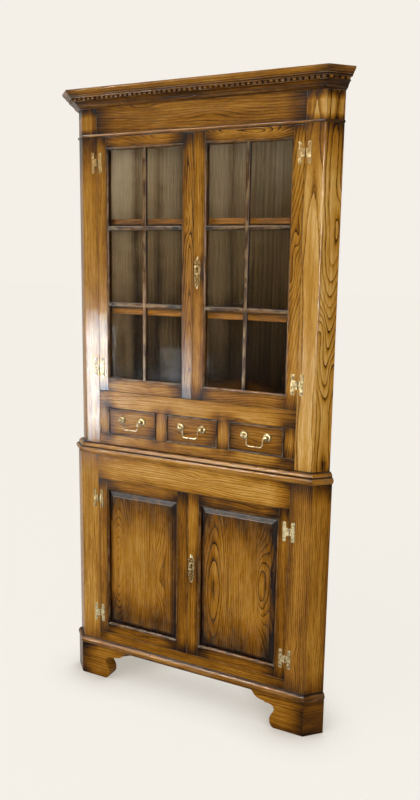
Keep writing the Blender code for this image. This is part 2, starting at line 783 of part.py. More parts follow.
def cut_lock(frame, bounds, side, rise, face, deep):
    """A mortise in the meeting stile for the lock's bolt."""
    across, up = lock_place(bounds, side, rise)
    meeting = across - side * LOCK_BACKSET
    low, high = sorted((meeting - side * OVERRUN, meeting + side * (deep + PIN_PLAY)))
    half = BOLT_HEIGHT / 2 + PIN_PLAY
    front = face + BOLT_DEPTH - PIN_PLAY
    back = face + BOLT_DEPTH + BOLT_THICKNESS + PIN_PLAY
    return cut_solid(frame, box((low, front, up - half), (high, back, up + half)))


def keyhole_outline(across, up):
    """A round eye over a slot."""
    radius = KEYHOLE_WIDTH / 2
    slot = radius / 2
    eye = up + KEYHOLE_HEIGHT / 2 - radius
    points = [(across - slot, up - KEYHOLE_HEIGHT / 2), (across + slot, up - KEYHOLE_HEIGHT / 2)]
    start = -math.acos(slot / radius)
    sweep = math.pi - 2 * start
    for index in range(BARREL_SIDES // 2 + 1):
        angle = start + sweep * index / (BARREL_SIDES // 2)
        points.append((across + radius * math.cos(angle), eye + radius * math.sin(angle)))
    return points


def add_hinge(name, place, side, brass, door_pivot):
    """An H hinge: the frame's leaf with its pin, and the door's leaf with its middle knuckle."""
    across, depth, up = place
    radius = HINGE_BARREL / 2
    half = HINGE_HEIGHT / 2
    middle = HINGE_WEB * HINGE_MIDDLE_SHARE / 2
    web = HINGE_WEB / 2
    plate_back = depth + radius
    plate_front = plate_back - HINGE_PLATE
    outer = HINGE_WIDTH / 2
    strap = outer - HINGE_STRAP
    for leaf, way in (("frame", side), ("door", -side)):
        outline = [
            (across + way * radius / 2, up - web),
            (across + way * strap, up - web),
            (across + way * strap, up - half),
            (across + way * outer, up - half),
            (across + way * outer, up + half),
            (across + way * strap, up + half),
            (across + way * strap, up + web),
            (across + way * radius / 2, up + web),
        ]
        obj = add_object(f"{name}_{leaf}_leaf", facing(outline, plate_front, plate_back), brass)
        round_outline = circle(radius, BARREL_SIDES, (across, depth))
        if leaf == "frame":
            gap = circle(radius + PIN_PLAY, BARREL_SIDES, (across, depth))
            cut_solid(obj, upright(gap, up - middle - PIN_PLAY, up + middle + PIN_PLAY))
            for low, high in ((-web, -middle - PIN_PLAY), (middle + PIN_PLAY, web)):
                join_solid(obj, upright(round_outline, up + low, up + high))
            pin = circle(HINGE_PIN / 2, BARREL_SIDES, (across, depth))
            reach = middle + PIN_PLAY + LAP
            join_solid(obj, upright(pin, up - reach, up + reach))
        else:
            gap = circle(radius + PIN_PLAY, BARREL_SIDES, (across, depth))
            for low, high in ((-web - LAP, -middle), (middle, web + LAP)):
                cut_solid(obj, upright(gap, up + low, up + high))
            join_solid(obj, upright(round_outline, up - middle, up + middle))
            bore = circle(HINGE_PIN / 2 + PIN_PLAY, BARREL_SIDES, (across, depth))
            cut_solid(obj, upright(bore, up - middle - LAP, up + middle + LAP))
            hang_on(door_pivot, obj)


def add_escutcheon(name, across, up, face, brass, pivot):
    """A pierced plate with a keyhole."""
    half_width = ESCUTCHEON_WIDTH / 2
    half_height = ESCUTCHEON_HEIGHT / 2
    right = [(share * half_width, rise * half_height) for share, rise in ESCUTCHEON_SHARES]
    outline = right + [(-x, z) for x, z in reversed(right)]
    outline = [(across + x, up + z) for x, z in outline]
    back = face - SEAT
    plate = add_object(name, facing(outline, back - ESCUTCHEON_PLATE, back), brass)
    holes = bmesh.new()
    for x_share, z_share, wide, tall in PIERCING_SHARES:
        centre = (across + x_share * half_width, up + z_share * half_height)
        reach = (wide * half_width, tall * half_height)
        hole = [
            (centre[0] + reach[0] * math.cos(math.pi * index / 3),
             centre[1] + reach[1] * math.sin(math.pi * index / 3))
            for index in range(6)
        ]
        facing(hole, back - ESCUTCHEON_PLATE - LAP, back + LAP, holes)
    keyhole = keyhole_outline(across, up + KEYHOLE_SHARE * half_height)
    facing(keyhole, back - ESCUTCHEON_PLATE - LAP, back + LAP, holes)
    cut_solid(plate, holes)
    return hang_on(pivot, plate)


def add_bolt(name, bounds, side, rise, face, steel, door_pivot):
    """The lock's bolt, drawn back into its mortise, on a pivot at its own middle."""
    across, up = lock_place(bounds, side, rise)
    near = across - side * (LOCK_BACKSET - PIN_PLAY)
    low, high = sorted((near, near + side * BOLT_LENGTH))
    front = face + BOLT_DEPTH
    half = BOLT_HEIGHT / 2
    bolt = box((low, front, up - half), (high, front + BOLT_THICKNESS, up + half))
    pivot = add_pivot(f"{name}_slide", ((low + high) / 2, front, up))
    obj = hang_on(pivot, add_object(name, bolt, steel))
    hang_pivot(pivot, door_pivot)
    return obj


def door_axis(doorway_half, face, side):
    """The vertical line of a door's hinges, in plan."""
    return (side * (doorway_half - DOOR_GAP / 2), face - SEAT - HINGE_BARREL / 2)


def add_upper_door(side, name, woods):
    face = FRONT_Y
    bounds = door_bounds(UPPER_DOORWAY_HALF, UPPER_DOORWAY_FOOT, UPPER_DOORWAY_HEAD, side)
    sight = sight_bounds(
        bounds, side, UPPER_HINGE_STILE, UPPER_MEETING_STILE, UPPER_BOTTOM_RAIL, UPPER_TOP_RAIL
    )
    inner = ovolo(SIGHT_MOULD)
    inner += groove(GLASS_GRIP, GLASS_FACE, GLASS_FACE + GLASS_THICKNESS + SEAT + SEAT)
    frame = add_object(f"upper_door_frame_{name}", framed(bounds, sight, face, inner), woods["oak"])
    left, foot, right, head = sight
    reach = SIGHT_MOULD + LAP
    middle = (left + right) / 2
    join_solid(frame, glazing_bar(foot - reach, head + reach, middle, face, True))
    for height in bar_heights():
        join_solid(frame, glazing_bar(left - reach, right + reach, height, face, False))
    across, depth = door_axis(UPPER_DOORWAY_HALF, face, side)
    pivot = add_pivot(f"upper_door_{name}_axis", (across, depth, UPPER_DOORWAY_FOOT))
    glass = [
        rectangle(sight, face + GLASS_FACE + SEAT + offset, GLASS_GRIP - SEAT)
        for offset in (0, GLASS_THICKNESS)
    ]
    pane = add_object(f"upper_door_glass_{name}", stack(glass), woods["glass"])
    finish_door(f"upper_{name}", frame, bounds, side, UPPER_LOCK_RISE, face, woods, pivot)
    hang_on(pivot, pane)
    heights = (UPPER_DOORWAY_FOOT + UPPER_HINGE_INSET, UPPER_DOORWAY_HEAD - UPPER_HINGE_INSET)
    for place, height in zip(("bottom", "top"), heights):
        hinge = f"upper_{name}_{place}_hinge"
        add_hinge(hinge, (across, depth, height), side, woods["brass"], pivot)


def add_lower_door(side, name, woods):
    face = FRONT_Y - LOWER_STEP
    bounds = door_bounds(LOWER_DOORWAY_HALF, LOWER_DOORWAY_FOOT, LOWER_DOORWAY_HEAD, side)
    sight = sight_bounds(
        bounds, side, LOWER_HINGE_STILE, LOWER_MEETING_STILE, LOWER_BOTTOM_RAIL, LOWER_TOP_RAIL
    )
    back = PANEL_FACE + PANEL_THICKNESS
    inner = ovolo(SIGHT_MOULD) + groove(PANEL_GRIP, PANEL_FACE, back)
    frame = add_object(f"lower_door_frame_{name}", framed(bounds, sight, face, inner), woods["oak"])
    across, depth = door_axis(LOWER_DOORWAY_HALF, face, side)
    pivot = add_pivot(f"lower_door_{name}_axis", (across, depth, LOWER_DOORWAY_FOOT))
    tongue = PANEL_GRIP - PANEL_PLAY
    field = PANEL_FACE + SEAT - PANEL_RAISE
    rings = [
        rectangle(sight, face + back - SEAT, tongue),
        rectangle(sight, face + PANEL_FACE + SEAT, tongue),
        rectangle(sight, face + PANEL_FACE + SEAT, -SEAT),
        rectangle(sight, face + field + PANEL_STEP, -PANEL_BEVEL),
        rectangle(sight, face + field, -PANEL_BEVEL),
    ]
    panel = add_object(f"lower_door_panel_{name}", stack(rings), woods["oak"])
    finish_door(f"lower_{name}", frame, bounds, side, LOWER_LOCK_RISE, face, woods, pivot)
    hang_on(pivot, panel)
    heights = (LOWER_DOORWAY_FOOT + LOWER_HINGE_INSET, LOWER_DOORWAY_HEAD - LOWER_HINGE_INSET)
    for place, height in zip(("bottom", "top"), heights):
        hinge = f"lower_{name}_{place}_hinge"
        add_hinge(hinge, (across, depth, height), side, woods["brass"], pivot)


def finish_door(name, frame, bounds, side, rise, face, woods, pivot):
    """Cuts the lock's mortise, and gives the right door its keyhole, escutcheon and bolt."""
    deep = BOLT_LENGTH if side > 0 else BOLT_THROW
    cut_lock(frame, bounds, side, rise, face, deep + PIN_PLAY)
    if side > 0:
        across, up = lock_place(bounds, side, rise)
        eye = up + KEYHOLE_SHARE * ESCUTCHEON_HEIGHT / 2
        keyhole = keyhole_outline(across, eye)
        cut_solid(frame, facing(keyhole, face - LAP, face + BOLT_DEPTH + BOLT_THICKNESS))
        stage = name.split("_")[0]
        add_escutcheon(f"{stage}_escutcheon", across, up, face, woods["brass"], pivot)
        add_bolt(f"{stage}_lock_bolt", bounds, side, rise, face, woods["steel"], pivot)
    hang_on(pivot, frame)


# Drawers and handles


def add_drawer(name, left, right, depth, woods):
    """A drawer: a front with a cock bead round it, and a box that is open at the top."""
    front = FRONT_Y
    bounds = (
        left + DRAWER_PLAY,
        DRAWER_FOOT + DRAWER_PLAY,
        right - DRAWER_PLAY,
        DRAWER_HEAD - DRAWER_PLAY,
    )
    proud = front - COCK_BEAD_PROUD
    edge = COCK_BEAD / 4
    rings = [
        rectangle(bounds, front + DRAWER_FRONT),
        rectangle(bounds, proud + edge),
        rectangle(bounds, proud, -edge),
        rectangle(bounds, proud, edge - COCK_BEAD),
        rectangle(bounds, front, -COCK_BEAD),
    ]
    drawer = add_object(name, stack(rings), woods["oak"])
    start = front + DRAWER_FRONT - LAP
    back = front + depth
    foot = DRAWER_FOOT + SEAT
    head = bounds[3] - DRAWER_SIDE_DROP
    wall = DRAWER_WALL
    outside = [(bounds[0], start), (bounds[2], start), (bounds[2], back), (bounds[0], back)]
    inside = [
        (bounds[0] + wall, start + LAP),
        (bounds[2] - wall, start + LAP),
        (bounds[2] - wall, back - wall),
        (bounds[0] + wall, back - wall),
    ]
    levels = ((outside, foot), (outside, head), (inside, head), (inside, foot + DRAWER_BOTTOM))
    tray = stack([[(x, y, height) for x, y in outline] for outline, height in levels])
    join_solid(drawer, tray)
    middle = (left + right) / 2
    height = (DRAWER_FOOT + DRAWER_HEAD) / 2 + HANDLE_RISE
    drawer_pivot = add_pivot(f"{name}_slide", (middle, front, DRAWER_FOOT))
    holes = bmesh.new()
    for way in (-1, 1):
        centre = (middle + way * HANDLE_SPAN / 2, height)
        bore = circle(POST_SHANK / 2 + PIN_PLAY, BARREL_SIDES, centre)
        facing(bore, front - LAP, front + DRAWER_FRONT + LAP, holes)
    cut_solid(drawer, holes)
    hang_on(drawer_pivot, drawer)
    add_handle(name, middle, height, front, woods["brass"], drawer_pivot)
    return drawer


def rose_profile():
    """Radius and depth of a rose, its post and the shank behind it, front to back."""
    rose = ROSE_DIAMETER / 2
    ball = POST_BALL / 2
    neck = POST_NECK / 2
    steps = 6
    points = []
    for index in range(1, steps):
        angle = math.pi * index / steps
        points.append((ball * math.sin(angle), -POST_REACH - ball * math.cos(angle)))
    dome = ROSE_HEIGHT
    points += [
        (neck, -dome),
        (neck + (rose - neck) / 3, -dome),
        (neck + (rose - neck) * 2 / 3, -dome * 2 / 3),
        (rose, -dome / 4),
        (rose, -SEAT),
        (POST_SHANK / 2, -SEAT),
        (POST_SHANK / 2, DRAWER_FRONT + SEAT),
        (POST_NUT / 2, DRAWER_FRONT + SEAT),
        (POST_NUT / 2, DRAWER_FRONT + SEAT + NUT_THICKNESS),
    ]
    return points


def add_handle(name, middle, height, front, brass, drawer_pivot):
    """Two turned roses with pierced posts, and the swan-neck bail that swings between them."""
    handle = name.replace("drawer", "handle")
    axis_depth = front - POST_REACH
    pin = BAIL_WIRE * BAIL_SWELL_SHARES[0] / 2
    for side_name, way in (("left", -1), ("right", 1)):
        centre = middle + way * HANDLE_SPAN / 2
        rings = []
        for radius, depth in rose_profile():
            points = circle(radius, TURNED_SIDES, (centre, height))
            rings.append([(x, front + depth, z) for x, z in points])
        rose = add_object(f"{handle}_rose_{side_name}", stack(rings), brass, math.radians(40))
        socket = circle(pin + PIN_PLAY, BARREL_SIDES, (axis_depth, height))
        near, far = centre - way * POST_BALL, centre - way * BAIL_ENTRY / 4
        cutter = stack([[(x, y, z) for y, z in socket] for x in (near, far)])
        cut_solid(rose, cutter)
        hang_on(drawer_pivot, rose)
    bail_pivot = add_pivot(f"{handle}_axis", (middle, axis_depth, height))
    bail = add_bail(f"{handle}_bail", middle, axis_depth, height, brass)
    bail.location = (0, 0, 0)
    bail.parent = bail_pivot
    hang_pivot(bail_pivot, drawer_pivot)


def add_bail(name, middle, depth, height, brass):
    """A bent wire, thicker at its grip, with its ends in the posts."""
    half_span = HANDLE_SPAN / 2
    end = half_span - BAIL_ENTRY / 4 - PIN_PLAY
    half = [(half_span * across, -BAIL_DROP * fall) for across, fall in BAIL_SHARES]
    half = [(end, 0), *half]
    swell = [BAIL_SWELL_SHARES[0], *BAIL_SWELL_SHARES]
    route = half + [(-x, z) for x, z in reversed(half[:-1])]
    swell = swell + list(reversed(swell[:-1]))
    curve = bpy.data.curves.new(name, "CURVE")
    curve.dimensions = "3D"
    curve.bevel_depth = BAIL_WIRE / 2
    curve.bevel_resolution = 2
    curve.resolution_u = 2
    curve.use_fill_caps = True
    spline = curve.splines.new("BEZIER")
    spline.bezier_points.add(len(route) - 1)
    for point, (x, z), thickness in zip(spline.bezier_points, route, swell):
        point.co = (x, 0, z)
        point.handle_left_type = "AUTO"
        point.handle_right_type = "AUTO"
        point.radius = thickness
    obj = bpy.data.objects.new(name, curve)
    bpy.context.scene.collection.objects.link(obj)
    curve.materials.append(brass)
    return obj


def main():
    clear_scene()
    oak = make_material("aged_oak", (0.36, 0.17, 0.055), 0.38)
    board = make_material("back_boards", (0.20, 0.13, 0.07), 0.6)
    brass = make_material("antique_brass", (0.60, 0.47, 0.22), 0.32, metallic=1.0)
    steel = make_material("lock_steel", (0.35, 0.34, 0.33), 0.4, metallic=1.0)
    glass = make_material("clear_glass", (0.85, 0.90, 0.88), 0.03, alpha=0.3)
    woods = {"oak": oak, "board": board, "brass": brass, "steel": steel, "glass": glass}

    add_plinth(oak)
    add_cupboard_floor(oak)
    low, high = PLINTH_HEIGHT + SEAT, WAIST_FOOT - SEAT
    add_posts("lower", LOWER_STEP, LOWER_DOORWAY_HALF, low, high, oak)
    notch_lower_backs(add_backs("lower", LOWER_STEP, 0, high, board))
    add_waist(oak)
    low, high = WAIST_HEAD + SEAT, CARCASS_HEAD - SEAT
    add_posts("upper", 0, UPPER_DOORWAY_HALF, low, high, oak)
    add_backs("upper", 0, low, high, board)
    add_face_rails(oak)
    add_drawer_frame(oak)
    add_drawer_deck(oak)
    add_shelves(oak)
    add_cornice(oak)

    for side, name in ((-1, "left"), (1, "right")):
        add_lower_door(side, name, woods)
        add_upper_door(side, name, woods)

    start, end = DRAWER_OUTER_START, DRAWER_OUTER_END
    add_drawer("drawer_left", -end, -start, OUTER_DRAWER_DEPTH, woods)
    add_drawer(
        "drawer_middle", -DRAWER_MIDDLE_HALF, DRAWER_MIDDLE_HALF, MIDDLE_DRAWER_DEPTH, woods
    )
    add_drawer("drawer_right", start, end, OUTER_DRAWER_DEPTH, woods)


main()
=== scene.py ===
"""The looks of the glazed oak corner cabinet: separate boards with their own grain, mouldings
with wear, dirt and painted light and shade, old glass and cast brass, on a pale studio floor with a
painted contact shadow."""

import math
import zlib

import bmesh
import bpy
from mathutils import Matrix, Vector


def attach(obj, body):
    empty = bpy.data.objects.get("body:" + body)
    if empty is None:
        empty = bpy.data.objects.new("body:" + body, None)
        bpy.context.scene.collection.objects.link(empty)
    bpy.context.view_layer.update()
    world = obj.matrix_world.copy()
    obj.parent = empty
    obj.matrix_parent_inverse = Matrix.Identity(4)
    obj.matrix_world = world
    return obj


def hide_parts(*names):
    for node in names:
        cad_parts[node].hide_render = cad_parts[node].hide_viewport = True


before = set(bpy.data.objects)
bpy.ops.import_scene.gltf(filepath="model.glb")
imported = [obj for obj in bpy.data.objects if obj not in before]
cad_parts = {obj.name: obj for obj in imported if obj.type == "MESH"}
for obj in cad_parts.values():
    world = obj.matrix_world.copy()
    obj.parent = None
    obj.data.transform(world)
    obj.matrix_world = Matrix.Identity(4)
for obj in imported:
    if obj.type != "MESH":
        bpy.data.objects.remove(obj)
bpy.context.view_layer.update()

# Sizes, the same as the solids'
SEAT = 0.0003
DOOR_GAP = 0.0012
MEETING_GAP = 0.0016
FACE = 0.4000
RETURN = 0.0582
STEP = 0.0185
PLINTH_STEP = 0.0090
ROOT_TWO = math.sqrt(2)
CORNER = FACE + ROOT_TWO * RETURN
CORNICE_REACH = 0.0520
FRONT_Y = (CORNICE_REACH - CORNER) / 2
WALL = ROOT_TWO * FACE + RETURN
THICK = 0.0200
BACK = 0.0120

PLINTH_HEAD = 0.1352
LOWER_FOOT = PLINTH_HEAD + 0.0325
LOWER_HEAD = LOWER_FOOT + 0.5500
WAIST_FOOT = LOWER_HEAD + 0.0826
WAIST_HEAD = WAIST_FOOT + 0.0341
DRAWER_FOOT = WAIST_HEAD + 0.0328
DRAWER_HEAD = DRAWER_FOOT + 0.0920
UPPER_FOOT = DRAWER_HEAD + 0.0542
UPPER_HEAD = UPPER_FOOT + 0.7990
CORNICE_FOOT = UPPER_HEAD + 0.0860
CORNICE_HEIGHT = 0.0516
CORNICE_HEAD = CORNICE_FOOT + CORNICE_HEIGHT
TOP_HEAD = CORNICE_HEAD - 0.0020
CARCASS_HEAD = TOP_HEAD - 0.0180

UPPER_HALF = FACE - 0.0545
LOWER_HALF = FACE - 0.0580
MUNTIN = 0.0375
DRAWER_END = UPPER_HALF - 0.0350
DRAWER_WIDTH = (DRAWER_END - MUNTIN) * 2 / 3
DRAWER_MIDDLE = DRAWER_WIDTH / 2
DRAWER_START = DRAWER_MIDDLE + MUNTIN
DRAWER_DEPTH = {"left": 0.1350, "middle": 0.2845, "right": 0.1350}

DRAWER_PLAY = 0.0010
DRAWER_FRONT = 0.0160
PLINTH_THICK = 0.0450

MOULD = 0.0060
GLASS_FACE = 0.0100
BAR_WIDTH = 0.0145
BAR_NOSE = 0.0070
PANEL_FACE = 0.0105
HANDLE_SPAN = 0.0760
HANDLE_Z = (DRAWER_FOOT + DRAWER_HEAD) / 2 + 0.0093
POST_REACH = 0.0118
BAIL_DROP = 0.0305
KNUCKLE = 0.0028
LOCK_IN = 0.0140
LOCK_UP = {"upper": UPPER_FOOT + 0.3904, "lower": LOWER_FOOT + 0.2998}
PLATE_WIDTH = 0.0245
PLATE_HEIGHT = 0.0955
KEYHOLE_UP = 0.150 * PLATE_HEIGHT / 2

SIDES = (("left", -1), ("right", 1))
SHARP = 0.35


# Shading


class Graph:
    """Builds the nodes of a material, or of the world, from short calls."""

    def __init__(self, name, world=False):
        self.owner = (bpy.data.worlds if world else bpy.data.materials).new(name)
        self.owner.use_nodes = True
        self.tree = self.owner.node_tree
        self.shader = self.tree.nodes["Background" if world else "Principled BSDF"]
        self.output = self.tree.nodes["World Output" if world else "Material Output"]

    def put(self, socket, value):
        if isinstance(value, bpy.types.NodeSocket):
            self.tree.links.new(value, socket)
        else:
            socket.default_value = value

    def node(self, kind, *inputs, **settings):
        node = self.tree.nodes.new("ShaderNode" + kind)
        for key, value in settings.items():
            setattr(node, key, value)
        for socket, value in zip(node.inputs, inputs):
            self.put(socket, value)
        return node

    def fill(self, node, **inputs):
        """Sets inputs by name, with _ for a space."""
        for key, value in inputs.items():
            self.put(node.inputs[key.replace("_", " ")], value)

    def math(self, operation, *inputs):
        return self.node("Math", *inputs, operation=operation).outputs[0]

    def add(self, first, second):
        return self.math("ADD", first, second)

    def sub(self, first, second):
        return self.math("SUBTRACT", first, second)

    def mul(self, first, second):
        return self.math("MULTIPLY", first, second)

    def fma(self, first, second, third):
        """The first times the second, plus the third."""
        return self.math("MULTIPLY_ADD", first, second, third)

    def vector(self, operation, *inputs):
        return self.node("VectorMath", *inputs, operation=operation).outputs[0]

    def split(self, source):
        return self.node("SeparateXYZ", source).outputs

    def attribute(self, name, output="Vector"):
        return self.node("Attribute", attribute_name=name).outputs[output]

    def position(self):
        return self.node("TexCoord").outputs["Object"]

    def noise(self, place, stretch, detail=2.0, roughness=0.5):
        node = self.node("TexNoise")
        self.fill(node, Vector=self.vector("MULTIPLY", place, stretch), Scale=1.0,
                  Detail=detail, Roughness=roughness)
        return node.outputs["Fac"]

    def sway(self, *noise):
        """Noise about zero."""
        return self.sub(self.noise(*noise), 0.5)

    def span(self, value, low, high, start=0.0, end=1.0, smooth=True):
        kind = "SMOOTHSTEP" if smooth else "LINEAR"
        return self.node("MapRange", value, low, high, start, end,
                         interpolation_type=kind).outputs[0]

    def ramp(self, value, stops):
        node = self.node("ValToRGB", value)
        elements = node.color_ramp.elements
        while len(elements) < len(stops):
            elements.new(0.5)
        for element, (place, colour) in zip(elements, stops):
            element.position = place
            element.color = (*colour, 1.0)
        return node.outputs[0]

    def mix(self, share, first, second):
        node = self.node("Mix", share, data_type="RGBA")
        self.put(node.inputs[6], first)
        self.put(node.inputs[7], second)
        return node.outputs[2]

    def bump(self, height, distance, strength=1.0, **normal):
        node = self.node("Bump")
        self.fill(node, Strength=strength, Distance=distance, Height=height, **normal)
        return node.outputs[0]

    def seen(self):
        """1 for the rays that look at a thing, straight, mirrored or through glass."""
        rays = self.node("LightPath").outputs
        mirrored = self.math("MAXIMUM", rays["Is Camera Ray"], rays["Is Glossy Ray"])
        return self.math("MAXIMUM", mirrored, rays["Is Transmission Ray"])

    def show(self, share, first, second):
        """Ends in a mix of two shaders."""
        blend = self.node("MixShader", share, first.outputs[0], second.outputs[0])
        self.put(self.output.inputs[0], blend.outputs[0])


OAK_STOPS = (
    (0.00, (0.0080, 0.0030, 0.0009)),
    (0.20, (0.042, 0.0160, 0.0028)),
    (0.38, (0.120, 0.0440, 0.0030)),
    (0.55, (0.245, 0.0970, 0.0060)),
    (0.72, (0.385, 0.1800, 0.0200)),
    (0.88, (0.520, 0.2850, 0.0600)),
    (1.00, (0.640, 0.4050, 0.1500)),
)
BOARD_STOPS = (
    (0.00, (0.012, 0.007, 0.0035)),
    (0.25, (0.058, 0.033, 0.0125)),
    (0.50, (0.165, 0.108, 0.0480)),
    (0.75, (0.330, 0.250, 0.1450)),
    (1.00, (0.520, 0.430, 0.2900)),
)
RING_STOPS = ((0.00, 1.0), (0.07, 0.80), (0.16, 0.42), (0.30, 0.17), (0.60, 0.03), (1.00, 0.0))


def wood(name, stops, level=0.65, rings=0.48, streaks=0.44, broad=0.48, gloss=0.20,
         specular=0.045, own=True):
    """Flat-sawn oak: growth rings cut by the board's own place in the log, streaks, pores,
    burnished edges, dirt and painted shade in the hollows, and wear with a painted highlight on
    the arrises. Without own it takes one place in the log for every board and has no burnish."""
    g = Graph(name)
    if own:
        place = g.attribute("place")
        half, log, burn_side, burn_end, heights = (g.split(g.attribute(key)) for key in (
            "half", "log", "burn_side", "burn_end", "eye_heights"))
        tone, grime_and_painted_light, spread, start, halt = (g.attribute(key, "Fac") for key in (
            "tone", "grime_and_painted_light", "spread", "start", "halt"))
        rarity, force = burn_end[2], burn_side[2]
        eyes = [g.split(g.attribute(f"eye_{number}")) for number in (1, 2, 3)]
        moved = g.vector("MULTIPLY_ADD", g.attribute("seed"), (9.0, 9.0, 9.0), place)
    else:
        moved = place = g.position()
        log = (0.02, 0.05, 0.05)
        rarity, force = 180.0, 1.0
    x, y, z = g.split(place)

    # The distance from the heart of the tree, counted in rings
    bend = g.sway(moved, (1.6, 5.0, 5.0))
    ripple = g.sway(moved, (9.0, 30.0, 30.0), 3.0)
    drift = g.sway(moved, (2.6, 3.0, 3.0), 1.0)
    pace = g.sway(moved, (5.0, 1.5, 1.5), 1.0)
    across = g.add(g.sub(y, log[0]), g.fma(bend, 0.030, g.mul(ripple, 0.0050)))
    deep = g.add(log[1], g.fma(drift, 0.016, z))
    radius = g.math("SQRT", g.add(g.mul(across, across), g.mul(deep, deep)))
    run = x
    if own:
        run = g.math("SMOOTH_MAX", g.math("SMOOTH_MIN", x, halt, 0.12), start, 0.08)
    radius = g.fma(g.fma(pace, 0.12, run), log[2], radius)
    swell = g.noise(moved, (0.6, 2.0, 2.0), 1.0)
    count = g.fma(radius, rarity, g.fma(swell, 0.6, g.mul(ripple, 0.6)))
    if own:
        for eye, rise in zip(eyes, heights):
            aside = g.mul(g.sub(y, eye[1]), eye[2])
            along = g.mul(g.mul(g.sub(x, eye[0]), eye[2]), 0.24)
            reach = g.fma(aside, aside, g.mul(along, along))
            count = g.fma(g.math("EXPONENT", g.mul(reach, -1.0)), rise, count)
    ring = g.ramp(g.math("FRACT", count), [(stop, (grey,) * 3) for stop, grey in RING_STOPS])
    chance = g.node("TexWhiteNoise", noise_dimensions="1D")
    g.fill(chance, W=g.math("FLOOR", count))
    strength = g.fma(chance.outputs["Value"], 0.65, 0.50)
    strength = g.mul(strength, g.span(g.noise(moved, (3.2, 9.0, 9.0), 1.0), 0.30, 0.66, 0.45, 1.2))
    dots = g.noise(moved, (70.0, 900.0, 900.0), 1.0)
    ring = g.mul(g.mul(ring, strength), g.span(dots, 0.30, 0.62, 0.45, 1.15))

    # Its figure
    streak = g.sway(moved, (3.4, 110.0, 110.0), 3.0, 0.62)
    line = g.sway(moved, (15.0, 270.0, 270.0), 2.0, 0.6)
    fine = g.sway(moved, (38.0, 620.0, 620.0), 2.0, 0.6)
    pores = g.span(g.noise(moved, (46.0, 1500.0, 1500.0), 1.0), 0.58, 0.70)
    cloud = g.sway(moved, (3.0, 8.0, 8.0), 3.0, 0.55)
    value = g.fma(streak, streaks, level)
    for layer, share in ((line, 0.44), (fine, 0.30), (cloud, broad)):
        value = g.fma(layer, share, value)
    value = g.sub(value, g.mul(g.mul(ring, force), rings))
    value = g.sub(value, g.mul(g.mul(pores, g.fma(ring, 0.7, 0.3)), 0.14))

    # Its age, and painted light: shade in the hollows, a highlight on the arrises
    if own:
        wobble = g.mul(g.sway(moved, (14.0, 14.0, 14.0)), 0.022)
        # Positive grime darkens, as dirt and as painted shade
        dark = g.mul(g.math("MAXIMUM", grime_and_painted_light, 0.0), 0.50)
        for centre, extent, width, burn in ((x, half[0], 0.070, burn_end),
                                            (y, half[1], 0.026, burn_side)):
            for index, way in enumerate(("ADD", "SUBTRACT")):
                gap = g.add(g.math(way, extent, centre), wobble)
                near = g.span(gap, 0.0, g.mul(spread, width), 1.0, 0.0, smooth=False)
                dark = g.fma(g.math("POWER", near, 1.4), burn[index], dark)
        blot = g.span(g.noise(moved, (11.0, 26.0, 26.0), 3.0, 0.6), 0.30, 0.70, 0.70, 1.30)
        blot = g.fma(g.add(streak, line), 0.8, blot)
        value = g.sub(g.add(value, tone), g.mul(dark, blot))
        # Wear and a painted highlight: the arrises and convex turns, broken by noise, mix towards a
        # pale tan
        side = g.span(g.sub(g.math("ABSOLUTE", y), half[1]), -0.0016, -0.0004)
        face = g.span(g.sub(g.math("ABSOLUTE", z), half[2]), -0.0014, -0.0004)
        wear_and_highlight_patches = g.span(g.noise(moved, (22.0, 60.0, 60.0), 3.0), 0.40, 0.62)
        convex = g.math("MAXIMUM", g.mul(grime_and_painted_light, -1.0), 0.0)
        wear_and_highlight = g.mul(g.math("MAXIMUM", g.mul(side, face), convex), wear_and_highlight_patches)
    colour = g.ramp(value, stops)
    if own:
        colour = g.mix(g.mul(wear_and_highlight, 0.45), colour, (0.42, 0.27, 0.120, 1.0))
    rough = g.fma(streak, 0.25, g.fma(g.sub(0.6, value), 0.16, gloss))
    height = g.sub(g.fma(streak, 0.8, g.mul(fine, 0.9)), g.mul(ring, 0.25))
    height = g.sub(height, g.mul(pores, 0.5))
    waves = g.bump(g.noise(moved, (5.0, 30.0, 30.0), 1.0), 0.0009, 0.50)
    g.fill(g.shader, Base_Color=colour, Roughness=g.math("MAXIMUM", rough, 0.13),
           Specular_IOR_Level=specular, Normal=g.bump(height, 0.00022, 0.6, Normal=waves))
    return g.owner


def brass(name):
    """Old cast brass: pale where it is rubbed, brown in the hollows."""
    g = Graph(name)
    place = g.position()
    cloud = g.noise(place, (150.0, 150.0, 150.0), 4.0, 0.6)
    speck = g.noise(place, (900.0, 900.0, 900.0))
    dirt = g.add(g.sub(cloud, g.attribute("tone", "Fac")), g.mul(g.attribute("grime_and_painted_light", "Fac"), 0.45))
    dirt = g.span(dirt, 0.40, 0.80)
    g.fill(g.shader, Metallic=1.0,
           Base_Color=g.mix(dirt, (0.33, 0.270, 0.150, 1.0), (0.070, 0.043, 0.015, 1.0)),
           Roughness=g.fma(dirt, 0.25, g.fma(cloud, 0.14, 0.27)),
           Normal=g.bump(g.fma(speck, 0.4, cloud), 0.00025, 0.6))
    return g.owner


def steel(name):
    """Brushed steel with rusty blotches."""
    g = Graph(name)
    place = g.position()
    brushed = g.noise(place, (60.0, 900.0, 900.0), 3.0)
    blotch = g.span(g.noise(place, (120.0, 120.0, 120.0), 3.0), 0.45, 0.70)
    g.fill(g.shader, Metallic=1.0,
           Base_Color=g.mix(blotch, (0.42, 0.41, 0.39, 1.0), (0.17, 0.13, 0.10, 1.0)),
           Roughness=g.fma(brushed, 0.3, 0.30), Normal=g.bump(brushed, 0.0002, 0.5))
    return g.owner


